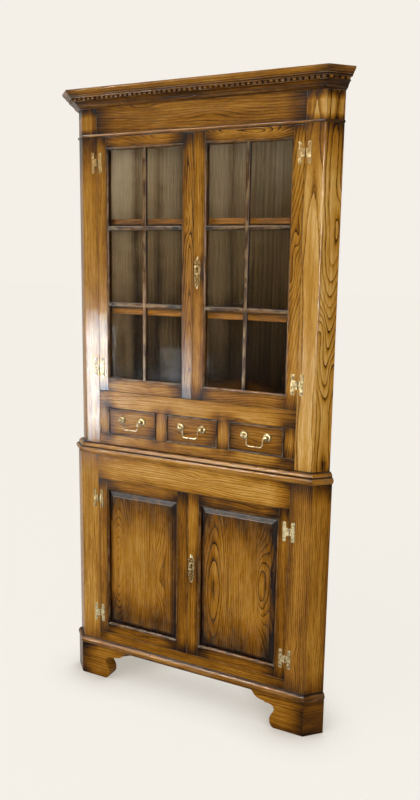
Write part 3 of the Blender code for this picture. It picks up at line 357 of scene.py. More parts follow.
def old_glass(name):
    """Thin old glass, faintly wavy, with dust towards the edges of each pane."""
    g = Graph(name)
    place = g.attribute("place")
    half = g.split(g.attribute("half"))
    x, y, _ = g.split(place)
    edge = g.math("MINIMUM", g.sub(half[0], g.math("ABSOLUTE", x)),
                  g.sub(half[1], g.math("ABSOLUTE", y)))
    smear = g.span(g.noise(place, (9.0, 22.0, 9.0), 3.0), 0.35, 0.75)
    dust = g.mul(g.span(edge, 0.004, 0.026, 1.0, 0.0), smear)
    waves = g.noise(place, (5.0, 13.0, 5.0), 1.0)
    g.fill(g.shader, Transmission_Weight=1.0, IOR=1.09, Roughness=g.fma(dust, 0.12, 0.015),
           Base_Color=g.mix(dust, (0.95, 0.95, 0.92, 1.0), (0.84, 0.82, 0.74, 1.0)),
           Normal=g.bump(waves, 0.0022, 0.5))
    clear = g.math("MAXIMUM", g.node("LightPath").outputs["Is Shadow Ray"], 0.62)
    g.show(clear, g.shader, g.node("BsdfTransparent"))
    return g.owner


OAK = wood("oak_boards", OAK_STOPS)
WAXED_OAK = wood("oak_waxed", OAK_STOPS, specular=0.13, gloss=0.14)
POLISHED_OAK = wood("oak_polished", OAK_STOPS, specular=0.12, gloss=0.11)
MOULDING_OAK = wood("oak_mouldings", OAK_STOPS, level=0.61, rings=0.34, streaks=0.46, broad=0.48,
                    gloss=0.18, specular=0.09)
INNER_OAK = wood("oak_inside", OAK_STOPS, level=0.50, rings=0.25, specular=0.06, gloss=0.45,
                 own=False)
SHELF_OAK = wood("oak_shelves", OAK_STOPS, level=0.37, rings=0.25, specular=0.04, gloss=0.40,
                 own=False)
BACK_OAK = wood("back_oak", BOARD_STOPS, level=0.60, rings=0.26, streaks=0.55, broad=0.45,
                specular=0.02, gloss=0.50)
BRASS = brass("old_brass")
STEEL = steel("dull_steel")
GLASS = old_glass("old_glass")


# Making pieces


def seed_of(name):
    number = zlib.crc32(name.encode())
    return tuple(((number >> shift) & 1023) / 1023 for shift in (0, 10, 20))


class Axes:
    """A board's own directions: along its grain, across it and out of its face."""

    def __init__(self, along, across):
        self.along = Vector(along).normalized()
        self.across = Vector(across).normalized()
        self.out = self.along.cross(self.across)


UPRIGHT = Axes((0, 0, 1), (1, 0, 0))
LEVEL = Axes((1, 0, 0), (0, 0, 1))
DEPTHWISE = Axes((0, 1, 0), (1, 0, 0))
DEPTH_UP = Axes((0, 1, 0), (0, 0, 1))


def linked(name, data):
    obj = bpy.data.objects.new(name, data)
    bpy.context.scene.collection.objects.link(obj)
    return obj


def meshed(name, builder):
    """An object of the builder's shape."""
    mesh = bpy.data.meshes.new(name)
    builder.to_mesh(mesh)
    builder.free()
    return linked(name, mesh)


def evaluated(obj, *others):
    """The object's final shape, as a builder. The objects themselves go."""
    bpy.context.view_layer.update()
    result = bmesh.new()
    result.from_mesh(obj.evaluated_get(bpy.context.evaluated_depsgraph_get()).to_mesh())
    for carrier in (obj, *others):
        bpy.data.objects.remove(carrier)
    return result


def carve(builder, cutter):
    """One shape with another cut out of it."""
    carriers = []
    for shape in (builder, cutter):
        bmesh.ops.recalc_face_normals(shape, faces=shape.faces)
        carriers.append(meshed("carved", shape))
    modifier = carriers[0].modifiers.new("cut", "BOOLEAN")
    modifier.operation, modifier.solver = "DIFFERENCE", "EXACT"
    modifier.object = carriers[1]
    return evaluated(*carriers)


def make(name, builder, material, axes, body, nodes, bevel=0.0, burn=(0, 0, 0, 0), tone=0.0,
         log=None, grime_and_painted_light=None, smooth=None, spacing=0.0056, force=1.0, spread=1.0, eyes=None,
         accent=None, start=-9.0, halt=9.0, cutters=()):
    """A finished piece on its body, in place of the solids named in nodes. burn darkens the two
    ends and the two sides, spread widens that, and grime darkens point by point, as dirt and
    painted shade, and below zero lightens, as wear and a painted highlight. log places the
    board in its tree (across, depth and slope), spacing is that of its rings and force their
    darkness, and eyes are where the rings close (along, across, reach, rise). Outside start to
    halt the loops open into straight lines. accent gives some faces a second material. The
    cutters are shapes to cut away."""
    bmesh.ops.recalc_face_normals(builder, faces=builder.faces)
    if bevel:
        edges = [e for e in builder.edges
                 if len(e.link_faces) == 2 and e.calc_face_angle() > SHARP]
        bmesh.ops.bevel(builder, geom=edges, offset=bevel, segments=2, profile=0.6,
                        affect="EDGES", clamp_overlap=True)
    for cutter in cutters:
        builder = carve(builder, cutter)
    obj = meshed(name, builder)
    mesh = obj.data
    mesh.materials.append(material)
    if accent:
        mesh.materials.append(accent[0])
        for index in accent[1]:
            mesh.polygons[index].material_index = 1
    if smooth is not None:
        mesh.shade_smooth()
        mesh.set_sharp_from_angle(angle=math.radians(smooth))
    local = [[v.co.dot(way) for way in (axes.along, axes.across, axes.out)] for v in mesh.vertices]
    ranges = [(min(values), max(values)) for values in zip(*local)]
    middle = [(low + high) / 2 for low, high in ranges]
    half = [(high - low) / 2 for low, high in ranges]
    seed = seed_of(name)
    if log is None:
        away = max(half[1], 0.012) + 0.020 + 0.050 * seed[0]
        log = (away if seed[1] > 0.5 else -away, 0.015 + 0.045 * seed[2], 0.050 * (seed[1] - 0.5))
    if eyes is None:
        eyes = (((seed[2] - 0.5) * 1.4 * half[0], (seed[0] - 0.5) * half[1], 0.014, 1.4),)
    eyes = [*eyes, *[(0.0, 0.0, 1.0, 0.0)] * (3 - len(eyes))]
    count = len(mesh.vertices)
    vectors = {"half": half, "seed": seed, "log": log, "burn_end": (*burn[:2], 1 / spacing),
               "burn_side": (*burn[2:], force), "eye_heights": [eye[3] for eye in eyes]}
    for number, (along, across, reach, _) in enumerate(eyes, 1):
        vectors[f"eye_{number}"] = (along, across, 1 / reach)
    vectors = {key: list(vector) * count for key, vector in vectors.items()}
    vectors["place"] = [c - m for point in local for c, m in zip(point, middle)]
    numbers = {"tone": tone, "grime_and_painted_light": grime_and_painted_light or 0.0, "spread": spread, "start": start, "halt": halt}
    numbers = {key: value(mesh) if callable(value) else [value] * count
               for key, value in numbers.items()}
    for kind, field, layers in (("FLOAT_VECTOR", "vector", vectors), ("FLOAT", "value", numbers)):
        for key, values in layers.items():
            mesh.attributes.new(key, kind, "POINT").data.foreach_set(field, values)
    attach(obj, body)
    if nodes:
        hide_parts(*nodes)
    return obj


def stack(rings, builder=None):
    """A closed shape through rings of points."""
    builder = builder or bmesh.new()
    loops = [[builder.verts.new(point) for point in ring] for ring in rings]
    for first, second in zip(loops, loops[1:]):
        for index in range(len(first)):
            after = (index + 1) % len(first)
            builder.faces.new((first[index], first[after], second[after], second[index]))
    builder.faces.new(loops[0])
    builder.faces.new(list(reversed(loops[-1])))
    return builder


def upright(outline, low, high, builder=None, between=()):
    levels = (low, *between, high)
    return stack([[(x, y, height) for x, y in outline] for height in levels], builder)


def facing(outline, front, back, builder=None):
    return stack([[(x, depth, z) for x, z in outline] for depth in (front, back)], builder)


def block(low, high, builder=None, between=()):
    outline = [(low[0], low[1]), (high[0], low[1]), (high[0], high[1]), (low[0], high[1])]
    return upright(outline, low[2], high[2], builder, between)


def circle(sides, radius=1.0):
    angles = [2 * math.pi * k / sides for k in range(sides)]
    return [(radius * math.cos(angle), radius * math.sin(angle)) for angle in angles]


def turned(axes, across, out, along):
    """A point of an upright or a level length."""
    return (across, out, along) if axes is UPRIGHT else (along, out, across)


def board(name, low, high, axes, body, nodes, bevel=0.0009, material=OAK, **looks):
    make(name, block(low, high), material, axes, body, nodes, bevel=bevel, **looks)


def mitred(name, suffix, opening, section, way, face, nodes, turns, **looks):
    """A section run round an opening's four sides. It grows outwards, or inwards for a way of
    -1. The turns are its grime: dirt and painted shade where positive, wear and a painted
    highlight where negative."""
    left, foot, right, head = opening
    for label, axes, edge, outwards, start, end in (
            ("left", UPRIGHT, left, -way, foot, head), ("right", UPRIGHT, right, way, foot, head),
            ("foot", LEVEL, foot, -way, left, right), ("head", LEVEL, head, way, left, right)):
        rings = [[turned(axes, edge + outwards * grow, face + depth, place + shift * grow)
                  for grow, depth in section] for place, shift in ((start, -way), (end, way))]
        make(f"{name}_{label}_{suffix}", stack(rings), MOULDING_OAK, axes, name, nodes,
             grime_and_painted_light=lambda mesh: turns + turns, **looks)


def arris(reach):
    return (FACE + (ROOT_TWO - 1) * reach, FRONT_Y - reach)


def wall_end(reach):
    side = FACE + ROOT_TWO * reach
    return ((CORNER + side) / 2, FRONT_Y + (CORNER - side) / 2)


def flip(points, side):
    return [(side * x, *rest) for x, *rest in points]


def wall_point(along, inward):
    return ((along - inward) / ROOT_TWO, FRONT_Y + CORNER - (along + inward) / ROOT_TWO)


def hollows(profile, closed_from):
    """Where a profile turns inwards it is darker, as dirt and painted shade, and where it turns
    outwards it is paler, as wear and a painted highlight.
    """
    count = len(profile)
    values = []
    for index in range(count):
        if index >= closed_from:
            values.append(0.0)
            continue
        here = Vector(profile[index])
        before = Vector(profile[index - 1]) if index else here
        after = Vector(profile[(index + 1) % count])
        one, two = here - before, after - here
        if one.length < 1e-6 or two.length < 1e-6:
            values.append(-0.3)
            continue
        turn = math.atan2(one.x * two.y - one.y * two.x, one.dot(two))
        values.append(max(-1.0, min(1.0, turn / 1.2)))
    return values


def moulding_runs(name, face, rest, nodes, tone):
    """A profile of reach and height, run along the front and both returns, mitred. The rest are
    the points that close it behind its face."""
    profile = [*face, *rest]
    turns = hollows(profile, len(face))
    plans = {
        "front": (lambda reach: flip([arris(reach)], -1)[0], arris, LEVEL),
        "right": (arris, wall_end, Axes((1, 1, 0), (0, 0, 1))),
        "left": (lambda reach: flip([wall_end(reach)], -1)[0],
                 lambda reach: flip([arris(reach)], -1)[0], Axes((1, -1, 0), (0, 0, 1))),
    }
    for place, (start, end, axes) in plans.items():
        rings = [[(*at(reach), height) for reach, height in profile] for at in (start, end)]
        make(f"{name}_{place}", stack(rings), MOULDING_OAK, axes, "cabinet", nodes, smooth=38,
             tone=tone, burn=(0.22, 0.22, 0, 0), grime_and_painted_light=lambda mesh: turns + turns)


# Carcass


def rounded_corner(reach, radius, steps=4):
    """The worn arris between the front and the return, in plan."""
    x, y = arris(reach)
    points = []
    for index in range(steps + 1):
        angle = math.radians(45) * index / steps
        run = radius * math.tan(math.radians(22.5))
        centre = (x - run, y + radius)
        points.append((centre[0] + radius * math.sin(angle), centre[1] - radius * math.cos(angle)))
    return points


def shaded_run(marks, edge=0.0):
    """Painted shade by height, from one mark to the next, and more of it along the inner edge."""
    def grime_and_painted_light(mesh):
        nearest = min(abs(v.co.x) for v in mesh.vertices)
        values = []
        for vert in mesh.vertices:
            z = vert.co.z
            shade = marks[0][1]
            for (low, start), (high, end) in zip(marks, marks[1:]):
                if low <= z <= high:
                    shade = start + (end - start) * (z - low) / (high - low)
            if z > marks[-1][0]:
                shade = marks[-1][1]
            if z > UPPER_HEAD + 0.004 and abs(vert.co.x) < nearest + 0.012:
                shade += edge
            values.append(shade)
        return values
    return grime_and_painted_light


BEAD = UPPER_HEAD + 0.006
# Painted shade on the upper posts by height: darkest just under the bead, fading over 150 mm below
# it, and darkest again just under the cornice's foot
POST_MARKS = (
    (BEAD - 0.150, 0.0), (BEAD - 0.095, 0.25), (BEAD - 0.035, 0.62), (BEAD - 0.006, 1.05),
    (BEAD + 0.007, 0.70), (BEAD + 0.022, -0.05), (CORNICE_FOOT - 0.026, 0.0),
    (CORNICE_FOOT - 0.006, 1.10),
)


def add_post(stage, side_name, side, reach, half, heights, looks, return_looks):
    """A corner post: its face stile and the return that runs back to the wall."""
    nodes = [f"{stage}_post_{side_name}"]
    worn = rounded_corner(reach, 0.0090, 6)
    inner = arris(reach - THICK)
    front = FRONT_Y - reach
    upper = stage == "upper"
    between = [mark[0] for mark in POST_MARKS] if upper else ()
    outline = [(half, front), (half + 0.010, front), (half + 0.022, front),
               (worn[0][0] - 0.0012, front), *worn, inner, (half, inner[1])]
    make(f"{stage}_{side_name}_face_stile",
         upright(flip(outline, side), *heights, between=between),
         POLISHED_OAK if side < 0 and upper else WAXED_OAK, UPRIGHT, "cabinet", nodes,
         grime_and_painted_light=shaded_run(POST_MARKS, 0.6) if upper else None, smooth=50, **looks)
    outline = [worn[-1], wall_end(reach), wall_end(reach - THICK), inner]
    make(f"{stage}_{side_name}_return",
         upright(flip(outline, side), *heights, between=between), OAK,
         Axes((0, 0, 1), (1, side, 0)), "cabinet", nodes,
         grime_and_painted_light=shaded_run(POST_MARKS) if upper else None, **return_looks)


def back_tone_and_painted_light(stage, own):
    """Painted light: the upper boards are paler towards the top and darker low down, as light
    falls into the glazed stage.
    """
    low, rise = (-0.50, 0.74) if stage == "upper" else (-0.10, 0.0)
    span = UPPER_HEAD - UPPER_FOOT
    return lambda mesh: [own + low + rise * max(0.0, (v.co.z - UPPER_FOOT) / span)
                         for v in mesh.vertices]


def add_backs(stage, reach, foot, head, notch):
    """Separate upright boards, chamfered inside, that all but touch in their rear half."""
    end = WALL + reach - THICK - SEAT
    cut = WALL + STEP + PLINTH_STEP - PLINTH_THICK - SEAT
    gap, close, lap, chamfer, deep = 0.0008, 0.00005, BACK / 2, 0.0022, BACK - 0.003
    for name, side, along, first in (("right", 1, 0.0, 0), ("left", -1, BACK + SEAT, 3)):
        index = 0
        while along < end - 0.001:
            until = min(along + BACK_WIDTHS[(index + first) % len(BACK_WIDTHS)], end)
            if end - until < 0.03:
                until = end
            corners = [(along + close, 0.0), (until - close, 0.0), (until - close, lap),
                       (until - gap, lap), (until - gap, deep), (until - gap - chamfer, BACK),
                       (along + gap + chamfer, BACK), (along + gap, deep), (along + gap, lap),
                       (along + close, lap)]
            outline = flip([wall_point(a, b) for a, b in corners], side)
            if notch and until > cut:
                builder = upright(outline, PLINTH_HEAD + SEAT, head)
                if cut > along + 0.002:
                    low = [(along + close, 0.0), (cut, 0.0), (cut, BACK), (along + gap, BACK),
                           *corners[-2:]]
                    upright(flip([wall_point(a, b) for a, b in low], side), foot,
                            PLINTH_HEAD + SEAT, builder)
            else:
                between = (UPPER_FOOT, 1.2, 1.5, UPPER_HEAD) if stage == "upper" else ()
                builder = upright(outline, foot, head, None, between)
            make(f"{stage}_back_{name}_board_{index + 1}", builder, BACK_OAK,
                 Axes((0, 0, 1), (1, -side, 0)), "cabinet", [f"{stage}_back_{name}"],
                 burn=(0.10, 0.0, 0.42, 0.42), spread=0.75,
                 tone=back_tone_and_painted_light(stage, 0.05 * math.sin(3.1 * index + 1.3 * side)))
            along = until
            index += 1


CORNICE_SHARES = (
    (1.00, 1.00), (1.00, 0.93), (0.97, 0.885), (0.93, 0.84), (0.87, 0.79), (0.83, 0.755),
    (0.81, 0.745), (0.81, 0.735), (0.785, 0.73), (0.785, 0.665), (0.75, 0.655), (0.70, 0.64),
    (0.68, 0.60), (0.665, 0.565), (0.64, 0.56), (0.43, 0.55), (0.43, 0.42), (0.53, 0.42),
    (0.53, 0.405), (0.48, 0.39), (0.44, 0.37), (0.39, 0.33), (0.345, 0.29), (0.31, 0.26),
    (0.29, 0.25), (0.29, 0.235), (0.27, 0.22), (0.25, 0.17), (0.22, 0.12), (0.17, 0.08),
    (0.10, 0.05), (0.085, 0.04), (0.08, 0.00),
)
WAIST_SHARES = (
    (0.00, 1.00), (0.28, 0.98), (0.48, 0.91), (0.61, 0.79), (0.66, 0.66), (0.60, 0.59),
    (0.76, 0.58), (0.91, 0.52), (0.99, 0.42), (1.00, 0.30), (0.95, 0.16), (0.84, 0.06),
    (0.71, 0.00),
)
PLINTH_EDGE_SHARES = (
    (0.04, 1.00), (0.10, 0.96), (0.45, 0.90), (0.72, 0.80), (0.92, 0.62), (1.00, 0.40),
    (0.97, 0.18), (0.75, 0.08),
)
FOOT_SHARES = (
    (0.54, 0.00), (0.585, 0.05), (0.615, 0.14), (0.622, 0.25), (0.605, 0.36), (0.575, 0.44),
    (0.548, 0.51), (0.540, 0.58), (0.552, 0.65), (0.585, 0.70), (0.640, 0.725), (0.715, 0.73),
    (0.735, 0.76), (0.80, 0.775), (0.865, 0.81), (0.915, 0.87), (0.945, 0.94), (0.965, 0.985),
    (1.00, 1.00),
)
FOOT_WIDTH = 0.180
FOOT_HEIGHT = 0.110
BACK_WIDTHS = (0.079, 0.094, 0.071, 0.088, 0.097, 0.075, 0.090)
DENTIL_HALF = 0.0050
DENTIL_LOOKS = {"bevel": 0.0007, "tone": -0.20}


def scaled(shares, reach, foot, height, start=0.0):
    return [(start + across * reach, foot + up * height) for across, up in shares]


def inner_board(name, front, low, high, nodes, depth=CORNER):
    """A level board back to the corner of the walls. The front is its right-hand half."""
    outline = [*front, (0, FRONT_Y + depth), *flip(reversed(front), -1)]
    make(name, upright(outline, low, high), INNER_OAK, LEVEL, "cabinet", nodes)


def add_cornice():
    nodes = ["cornice"]

    # Painted shade: the cornice's lower members, under its crown, are darker than the top
    def painted_shade_below(mesh):
        shares = [(v.co.z - CORNICE_FOOT) / CORNICE_HEIGHT for v in mesh.vertices]
        return [-0.25 + 0.24 * min(max((share - 0.55) / 0.2, 0.0), 1.0) for share in shares]

    moulding_runs("cornice_moulding",
                  scaled(CORNICE_SHARES, CORNICE_REACH, CORNICE_FOOT, CORNICE_HEIGHT),
                  [(SEAT, CORNICE_FOOT), (SEAT, CORNICE_HEAD)], nodes, painted_shade_below)
    face, root = 0.62 * CORNICE_REACH, 0.43 * CORNICE_REACH
    low, high = (CORNICE_FOOT + share * CORNICE_HEIGHT for share in (0.435, 0.556))
    inside = root - 0.001
    end = DENTIL_HALF + 0.001
    last = arris(inside)[0] - end
    step = last / 24
    for index in range(-24, 25):
        centre = index * step
        make(f"dentil_front_{index + 25}",
             block((centre - DENTIL_HALF, FRONT_Y - face, low),
                   (centre + DENTIL_HALF, FRONT_Y - root, high)),
             MOULDING_OAK, LEVEL, "cabinet", nodes, **DENTIL_LOOKS)
    last = RETURN + (ROOT_TWO - 1) * inside - end
    for index in range(4):
        near, far = last - index * step - DENTIL_HALF, last - index * step + DENTIL_HALF
        outline = [wall_point(WALL + out, along) for out, along in (
            (root, near), (face, near), (face, far), (root, far))]
        for name, side in reversed(SIDES):
            make(f"dentil_{name}_{index + 1}", upright(flip(outline, side), low, high),
                 MOULDING_OAK, Axes((1, side, 0), (0, 0, 1)), "cabinet", nodes, **DENTIL_LOOKS)
    lap = 0.0080
    inner_board("cornice_top_board", [arris(lap), wall_end(lap)], CARCASS_HEAD, TOP_HEAD, nodes)


def add_frieze():
    nodes = ["frieze_rail"]
    edge = UPPER_HALF - SEAT
    board("frieze_board", (-edge, FRONT_Y, UPPER_HEAD),
          (edge, FRONT_Y + THICK, CARCASS_HEAD - SEAT), LEVEL, "cabinet", nodes,
          burn=(0.40, 0.46, 0.34, 0.34), tone=-0.06, log=(0.085, 0.040, -0.035), spacing=0.0075,
          force=0.8, eyes=((0.06, -0.01, 0.020, 2.2), (-0.18, 0.02, 0.016, -1.6)))
    foot, tall, reach = UPPER_HEAD + 0.0020, 0.0080, 0.0047
    bead = [(reach * math.sin(angle), foot + tall / 2 + tall / 2 * math.cos(angle))
            for angle in (math.pi * index / 10 for index in range(1, 10))]
    moulding_runs("frieze_bead", [(SEAT, foot + tall), *bead, (SEAT, foot)], (), nodes, -0.16)


def drawer_halos(mesh):
    """Dark burnish round the drawers' corners."""
    corners = [(side * x, z) for side in (-1, 1) for z in (DRAWER_FOOT, DRAWER_HEAD)
               for x in (DRAWER_MIDDLE, DRAWER_START, DRAWER_END)]
    return [0.80 * max(math.exp(-(math.hypot((v.co.x - x) * 0.8, v.co.z - z) / 0.020) ** 2)
                       for x, z in corners) for v in mesh.vertices]


def long_rail(low, high, step=0.014):
    """A level board with many sections along it, so that its burnish can vary."""
    number = round((high[0] - low[0]) / step)
    rows = (low[2], (2 * low[2] + high[2]) / 3, (low[2] + 2 * high[2]) / 3, high[2])
    section = [(low[1], z) for z in rows] + [(high[1], z) for z in reversed(rows)]
    return stack([[(low[0] + (high[0] - low[0]) * index / number, y, z) for y, z in section]
                  for index in range(number + 1)])


def add_face_frame():
    nodes = ["drawer_face_frame"]
    edge = UPPER_HALF - SEAT
    front, back = FRONT_Y, FRONT_Y + THICK
    rails = (
        ("drawer_top_rail", DRAWER_HEAD, UPPER_FOOT, 0.13, (0.22, 0.32, 0.05, 0.16)),
        ("drawer_bottom_rail", WAIST_HEAD + SEAT, DRAWER_FOOT, 0.18, (0.25, 0.30, 0.30, 0.05)),
    )
    for name, foot, head, tone, burn in rails:
        make(name, long_rail((-edge, front, foot), (edge, back, head)), OAK, LEVEL, "cabinet",
             nodes, bevel=0.0008, burn=burn, tone=tone, spacing=0.0080, force=0.9,
             grime_and_painted_light=drawer_halos)
    for name, side in SIDES:
        for label, near, far in (("end_stile", DRAWER_END, edge),
                                 ("muntin", DRAWER_MIDDLE, DRAWER_START)):
            left, right = sorted((side * near, side * far))
            board(f"drawer_{label}_{name}", (left, front, DRAWER_FOOT + 0.0001),
                  (right, back, DRAWER_HEAD - 0.0001), UPRIGHT, "cabinet", nodes,
                  burn=(0.34, 0.34, 0.20, 0.20), tone=0.07, spread=0.6)


def add_waist():
    nodes = ["waist_board"]
    rim = STEP - 0.0260
    tall = WAIST_HEAD - WAIST_FOOT

    # A dark joint line along the top, where the waist meets the case, and painted shade in the
    # crease between its two rounds; the rest a little paler
    def dark_joint_and_crease_shade(mesh):
        shares = [(v.co.z - WAIST_FOOT) / tall for v in mesh.vertices]
        return [-0.42 if share > 0.975 or 0.57 < share < 0.62 else 0.11 for share in shares]

    moulding_runs("waist_moulding", scaled(WAIST_SHARES, 0.0267, WAIST_FOOT, tall),
                  [(rim, WAIST_FOOT), (rim, WAIST_HEAD)], nodes, dark_joint_and_crease_shade)
    inner = rim - 0.0004
    inner_board("waist_inner_board", [arris(inner), wall_end(inner)], WAIST_HEAD - 0.020,
                WAIST_HEAD, nodes)


def add_plinth():
    nodes = ["bracket_plinth"]
    reach = STEP + PLINTH_STEP
    inner = reach - PLINTH_THICK
    tall = 0.0202
    edge_foot = PLINTH_HEAD - tall

    def darker_joint(mesh):
        gaps = [PLINTH_HEAD - v.co.z for v in mesh.vertices]
        return [-0.60 if gap < 0.0010 else -0.25 if gap < 0.0021 else -0.05 for gap in gaps]

    moulding_runs("plinth_moulding",
                  scaled(PLINTH_EDGE_SHARES, 0.0120, edge_foot, tall, start=STEP),
                  [(reach - 0.0004, edge_foot), (inner, edge_foot), (inner, PLINTH_HEAD)], nodes,
                  darker_joint)
    corner = arris(reach)[0]
    feet = [(corner - along * FOOT_WIDTH, up * FOOT_HEIGHT) for along, up in FOOT_SHARES]
    outline = [(corner, 0.0), *feet, *flip(reversed(feet), -1), (-corner, 0.0),
               (-corner, edge_foot), (corner, edge_foot)]
    behind = [(math.copysign(corner - (ROOT_TWO - 1) * PLINTH_THICK, x), z)
              if abs(x) > corner - 1e-6 else (x, z) for x, z in outline]
    builder = stack([[(x, FRONT_Y - depth, z) for x, z in points]
                     for points, depth in ((outline, reach), (behind, inner))])
    make("plinth_front_board", builder, OAK, LEVEL, "cabinet", nodes, bevel=0.0009,
         burn=(0.42, 0.42, 0.30, 0.26), log=(0.07, 0.035, 0.030))
    outline = [arris(reach), wall_end(reach), wall_end(inner), arris(inner)]
    for name, side in reversed(SIDES):
        make(f"plinth_{name}_return", upright(flip(outline, side), 0.0, edge_foot), OAK,
             Axes((1, side, 0), (0, 0, 1)), "cabinet", nodes, bevel=0.0007, tone=-0.08,
             burn=(0.20, 0.20, 0.30, 0.14))


def add_lower_face():
    edge = LOWER_HALF - SEAT
    face = FRONT_Y - STEP
    low = PLINTH_HEAD + SEAT
    board("cupboard_head_rail", (-edge, face, LOWER_HEAD), (edge, face + THICK, WAIST_FOOT - SEAT),
          LEVEL, "cabinet", ["cupboard_top_rail"], burn=(0.25, 0.35, 0.20, 0.26), tone=0.19,
          log=(-0.08, 0.030, 0.030), spacing=0.0062, force=1.1)
    board("cupboard_foot_rail", (-edge, face, low), (edge, face + THICK, LOWER_FOOT), LEVEL,
          "cabinet", ["cupboard_floor"], burn=(0.2, 0.25, 0.15, 0.20), tone=0.03)
    front = THICK - STEP + SEAT
    side = FACE - ROOT_TWO * front
    depth = CORNER - ROOT_TWO * (BACK + SEAT)
    inner_board("cupboard_floor_board",
                [(side + front, FRONT_Y + front),
                 ((depth + side) / 2, FRONT_Y + (depth - side) / 2)],
                low, low + 0.018, ["cupboard_floor"], depth)


# Doors


def ovolo(size, steps=7):
    """The profile of the moulding round an opening: a quarter round with two quirks."""
    quirk = size / 6
    radius = size - quirk
    points = [(size, 0.0), (size, quirk)]
    for index in range(1, steps + 1):
        angle = math.pi / 2 * index / steps
        points.append((size - radius * math.sin(angle) - quirk * (index == steps),
                       quirk + radius * (1 - math.cos(angle))))
    return points


def keyhole(up):
    radius, half = 0.0030, 0.0075
    slot, eye = radius / 2, up + half - radius
    points = [(-slot, up - half), (slot, up - half)]
    start = -math.acos(slot / radius)
    for index in range(13):
        angle = start + (math.pi - 2 * start) * index / 12
        points.append((radius * math.cos(angle), eye + radius * math.sin(angle)))
    return points


def lock_cuts(stage, side, face):
    """The bolt's mortise in a meeting stile, and the keyhole into the right one."""
    meeting, up = side * MEETING_GAP / 2, LOCK_UP[stage]
    over, deep = 0.001, 0.0276 if side > 0 else 0.0076
    low, high = sorted((meeting - side * over, meeting + side * deep))
    front, back, half = face + 0.0077, face + 0.0123, 0.0063
    cuts = [block((low, front, up - half), (high, back, up + half))]
    if side > 0:
        outline = [(meeting + LOCK_IN + x, up + z) for x, z in keyhole(KEYHOLE_UP)]
        cuts.append(facing(outline, face - over, face + 0.010))
    return cuts


def add_frame(door, bounds, sight, face, nodes, tones, logs, finishes):
    """Two stiles and two rails, with a mitred moulding stuck on their inner edges."""
    stage, hand, _ = door.split("_")
    left, foot, right, head = bounds
    in_left, in_foot, in_right, in_head = (
        edge + way * MOULD for edge, way in zip(sight, (-1, -1, 1, 1)))
    back = face + THICK
    members = {
        "left_stile": ((left, face, foot), (in_left, back, head), UPRIGHT, (0.12, 0.24)),
        "right_stile": ((in_right, face, foot), (right, back, head), UPRIGHT, (0.24, 0.12)),
        "foot_rail": ((in_left, face, foot), (in_right, back, in_foot), LEVEL, (0.12, 0.24)),
        "head_rail": ((in_left, face, in_head), (in_right, back, head), LEVEL, (0.24, 0.12)),
    }
    meeting, sense = ("left_stile", 1) if hand == "right" else ("right_stile", -1)

    def handled(mesh):
        return [0.62 * max(0.0, 1 - abs(v.co.z - LOCK_UP[stage]) / 0.08) for v in mesh.vertices]

    for label, (low, high, axes, sides) in members.items():
        keyed = label == meeting and hand == "right"
        levels = [LOCK_UP[stage] + 0.02 * step for step in range(-4, 5)] if keyed else ()
        ends = (0.40, 0.40) if axes is UPRIGHT else (0.36, 0.36)
        make(f"{door}_{label}", block(low, high, between=levels), finishes.get(label, OAK), axes,
             door, nodes, bevel=0.0007, burn=ends + sides, tone=tones[label], spread=0.8,
             grime_and_painted_light=handled if keyed else None,
             cutters=lock_cuts(stage, sense, face) if label == meeting else (),
             **logs.get(label, {}))
    curve = ovolo(MOULD)
    # Dirt and painted shade in the quirk and at the foot of the round, wear and a painted highlight
    # along the round
    turns = [0.7, 0.6, -0.5, *[-0.55] * (len(curve) - 4), 0.35, 0.4, 0.0]
    mitred(door, "ovolo", sight, [*curve, (0.0, THICK), (MOULD, THICK)], 1, face, nodes, turns,
           smooth=40, burn=(0.3, 0.3, 0, 0), tone=-0.24)


def bar_section(fin):
    """A glazing bar from its nose back to the fin between the panes."""
    half, nose = BAR_WIDTH / 2, BAR_NOSE / 2
    drop = half - nose
    points = [(nose, 0.0015)]
    for index in range(1, 6):
        angle = math.pi / 2 * index / 5
        points.append((nose + drop * math.sin(angle), 0.0015 + drop * (1 - math.cos(angle))))
    points += [(half, GLASS_FACE - 0.0002), (fin, GLASS_FACE - 0.0002), (fin, THICK - 0.001)]
    return points


def add_bar(name, start, end, centre, face, axes, body, nodes, sink=0.0):
    """A moulded glazing bar. The sink keeps the level bars just behind the upright ones."""
    section = bar_section(0.0020)
    section += [(-aside, depth) for aside, depth in reversed(section)]
    rings = [[turned(axes, centre + aside, face + depth + sink, place)
              for aside, depth in section] for place in (start, end)]
    # Paler at the nose, as wear and a painted highlight, and darkest where the bar meets the glass,
    # as painted shade
    worn = [-0.9, -0.3, 0.0, 0.15, 0.3, 0.4, 0.7, 0.3, 0.0]
    turns = 2 * (worn + worn[::-1])
    make(name, stack(rings), MOULDING_OAK, axes, body, nodes, smooth=40, tone=-0.33,
         burn=(0.30, 0.30, 0, 0), grime_and_painted_light=lambda mesh: turns)


def door_bounds(half, foot, head, side):
    left, right = sorted((side * MEETING_GAP / 2, side * (half - DOOR_GAP)))
    return (left, foot + DOOR_GAP, right, head - DOOR_GAP)


def sight_of(bounds, side, hinge, meeting, bottom, top):
    left, foot, right, head = bounds
    widths = (meeting, hinge) if side > 0 else (hinge, meeting)
    return (left + widths[0], foot + bottom, right - widths[1], head - top)


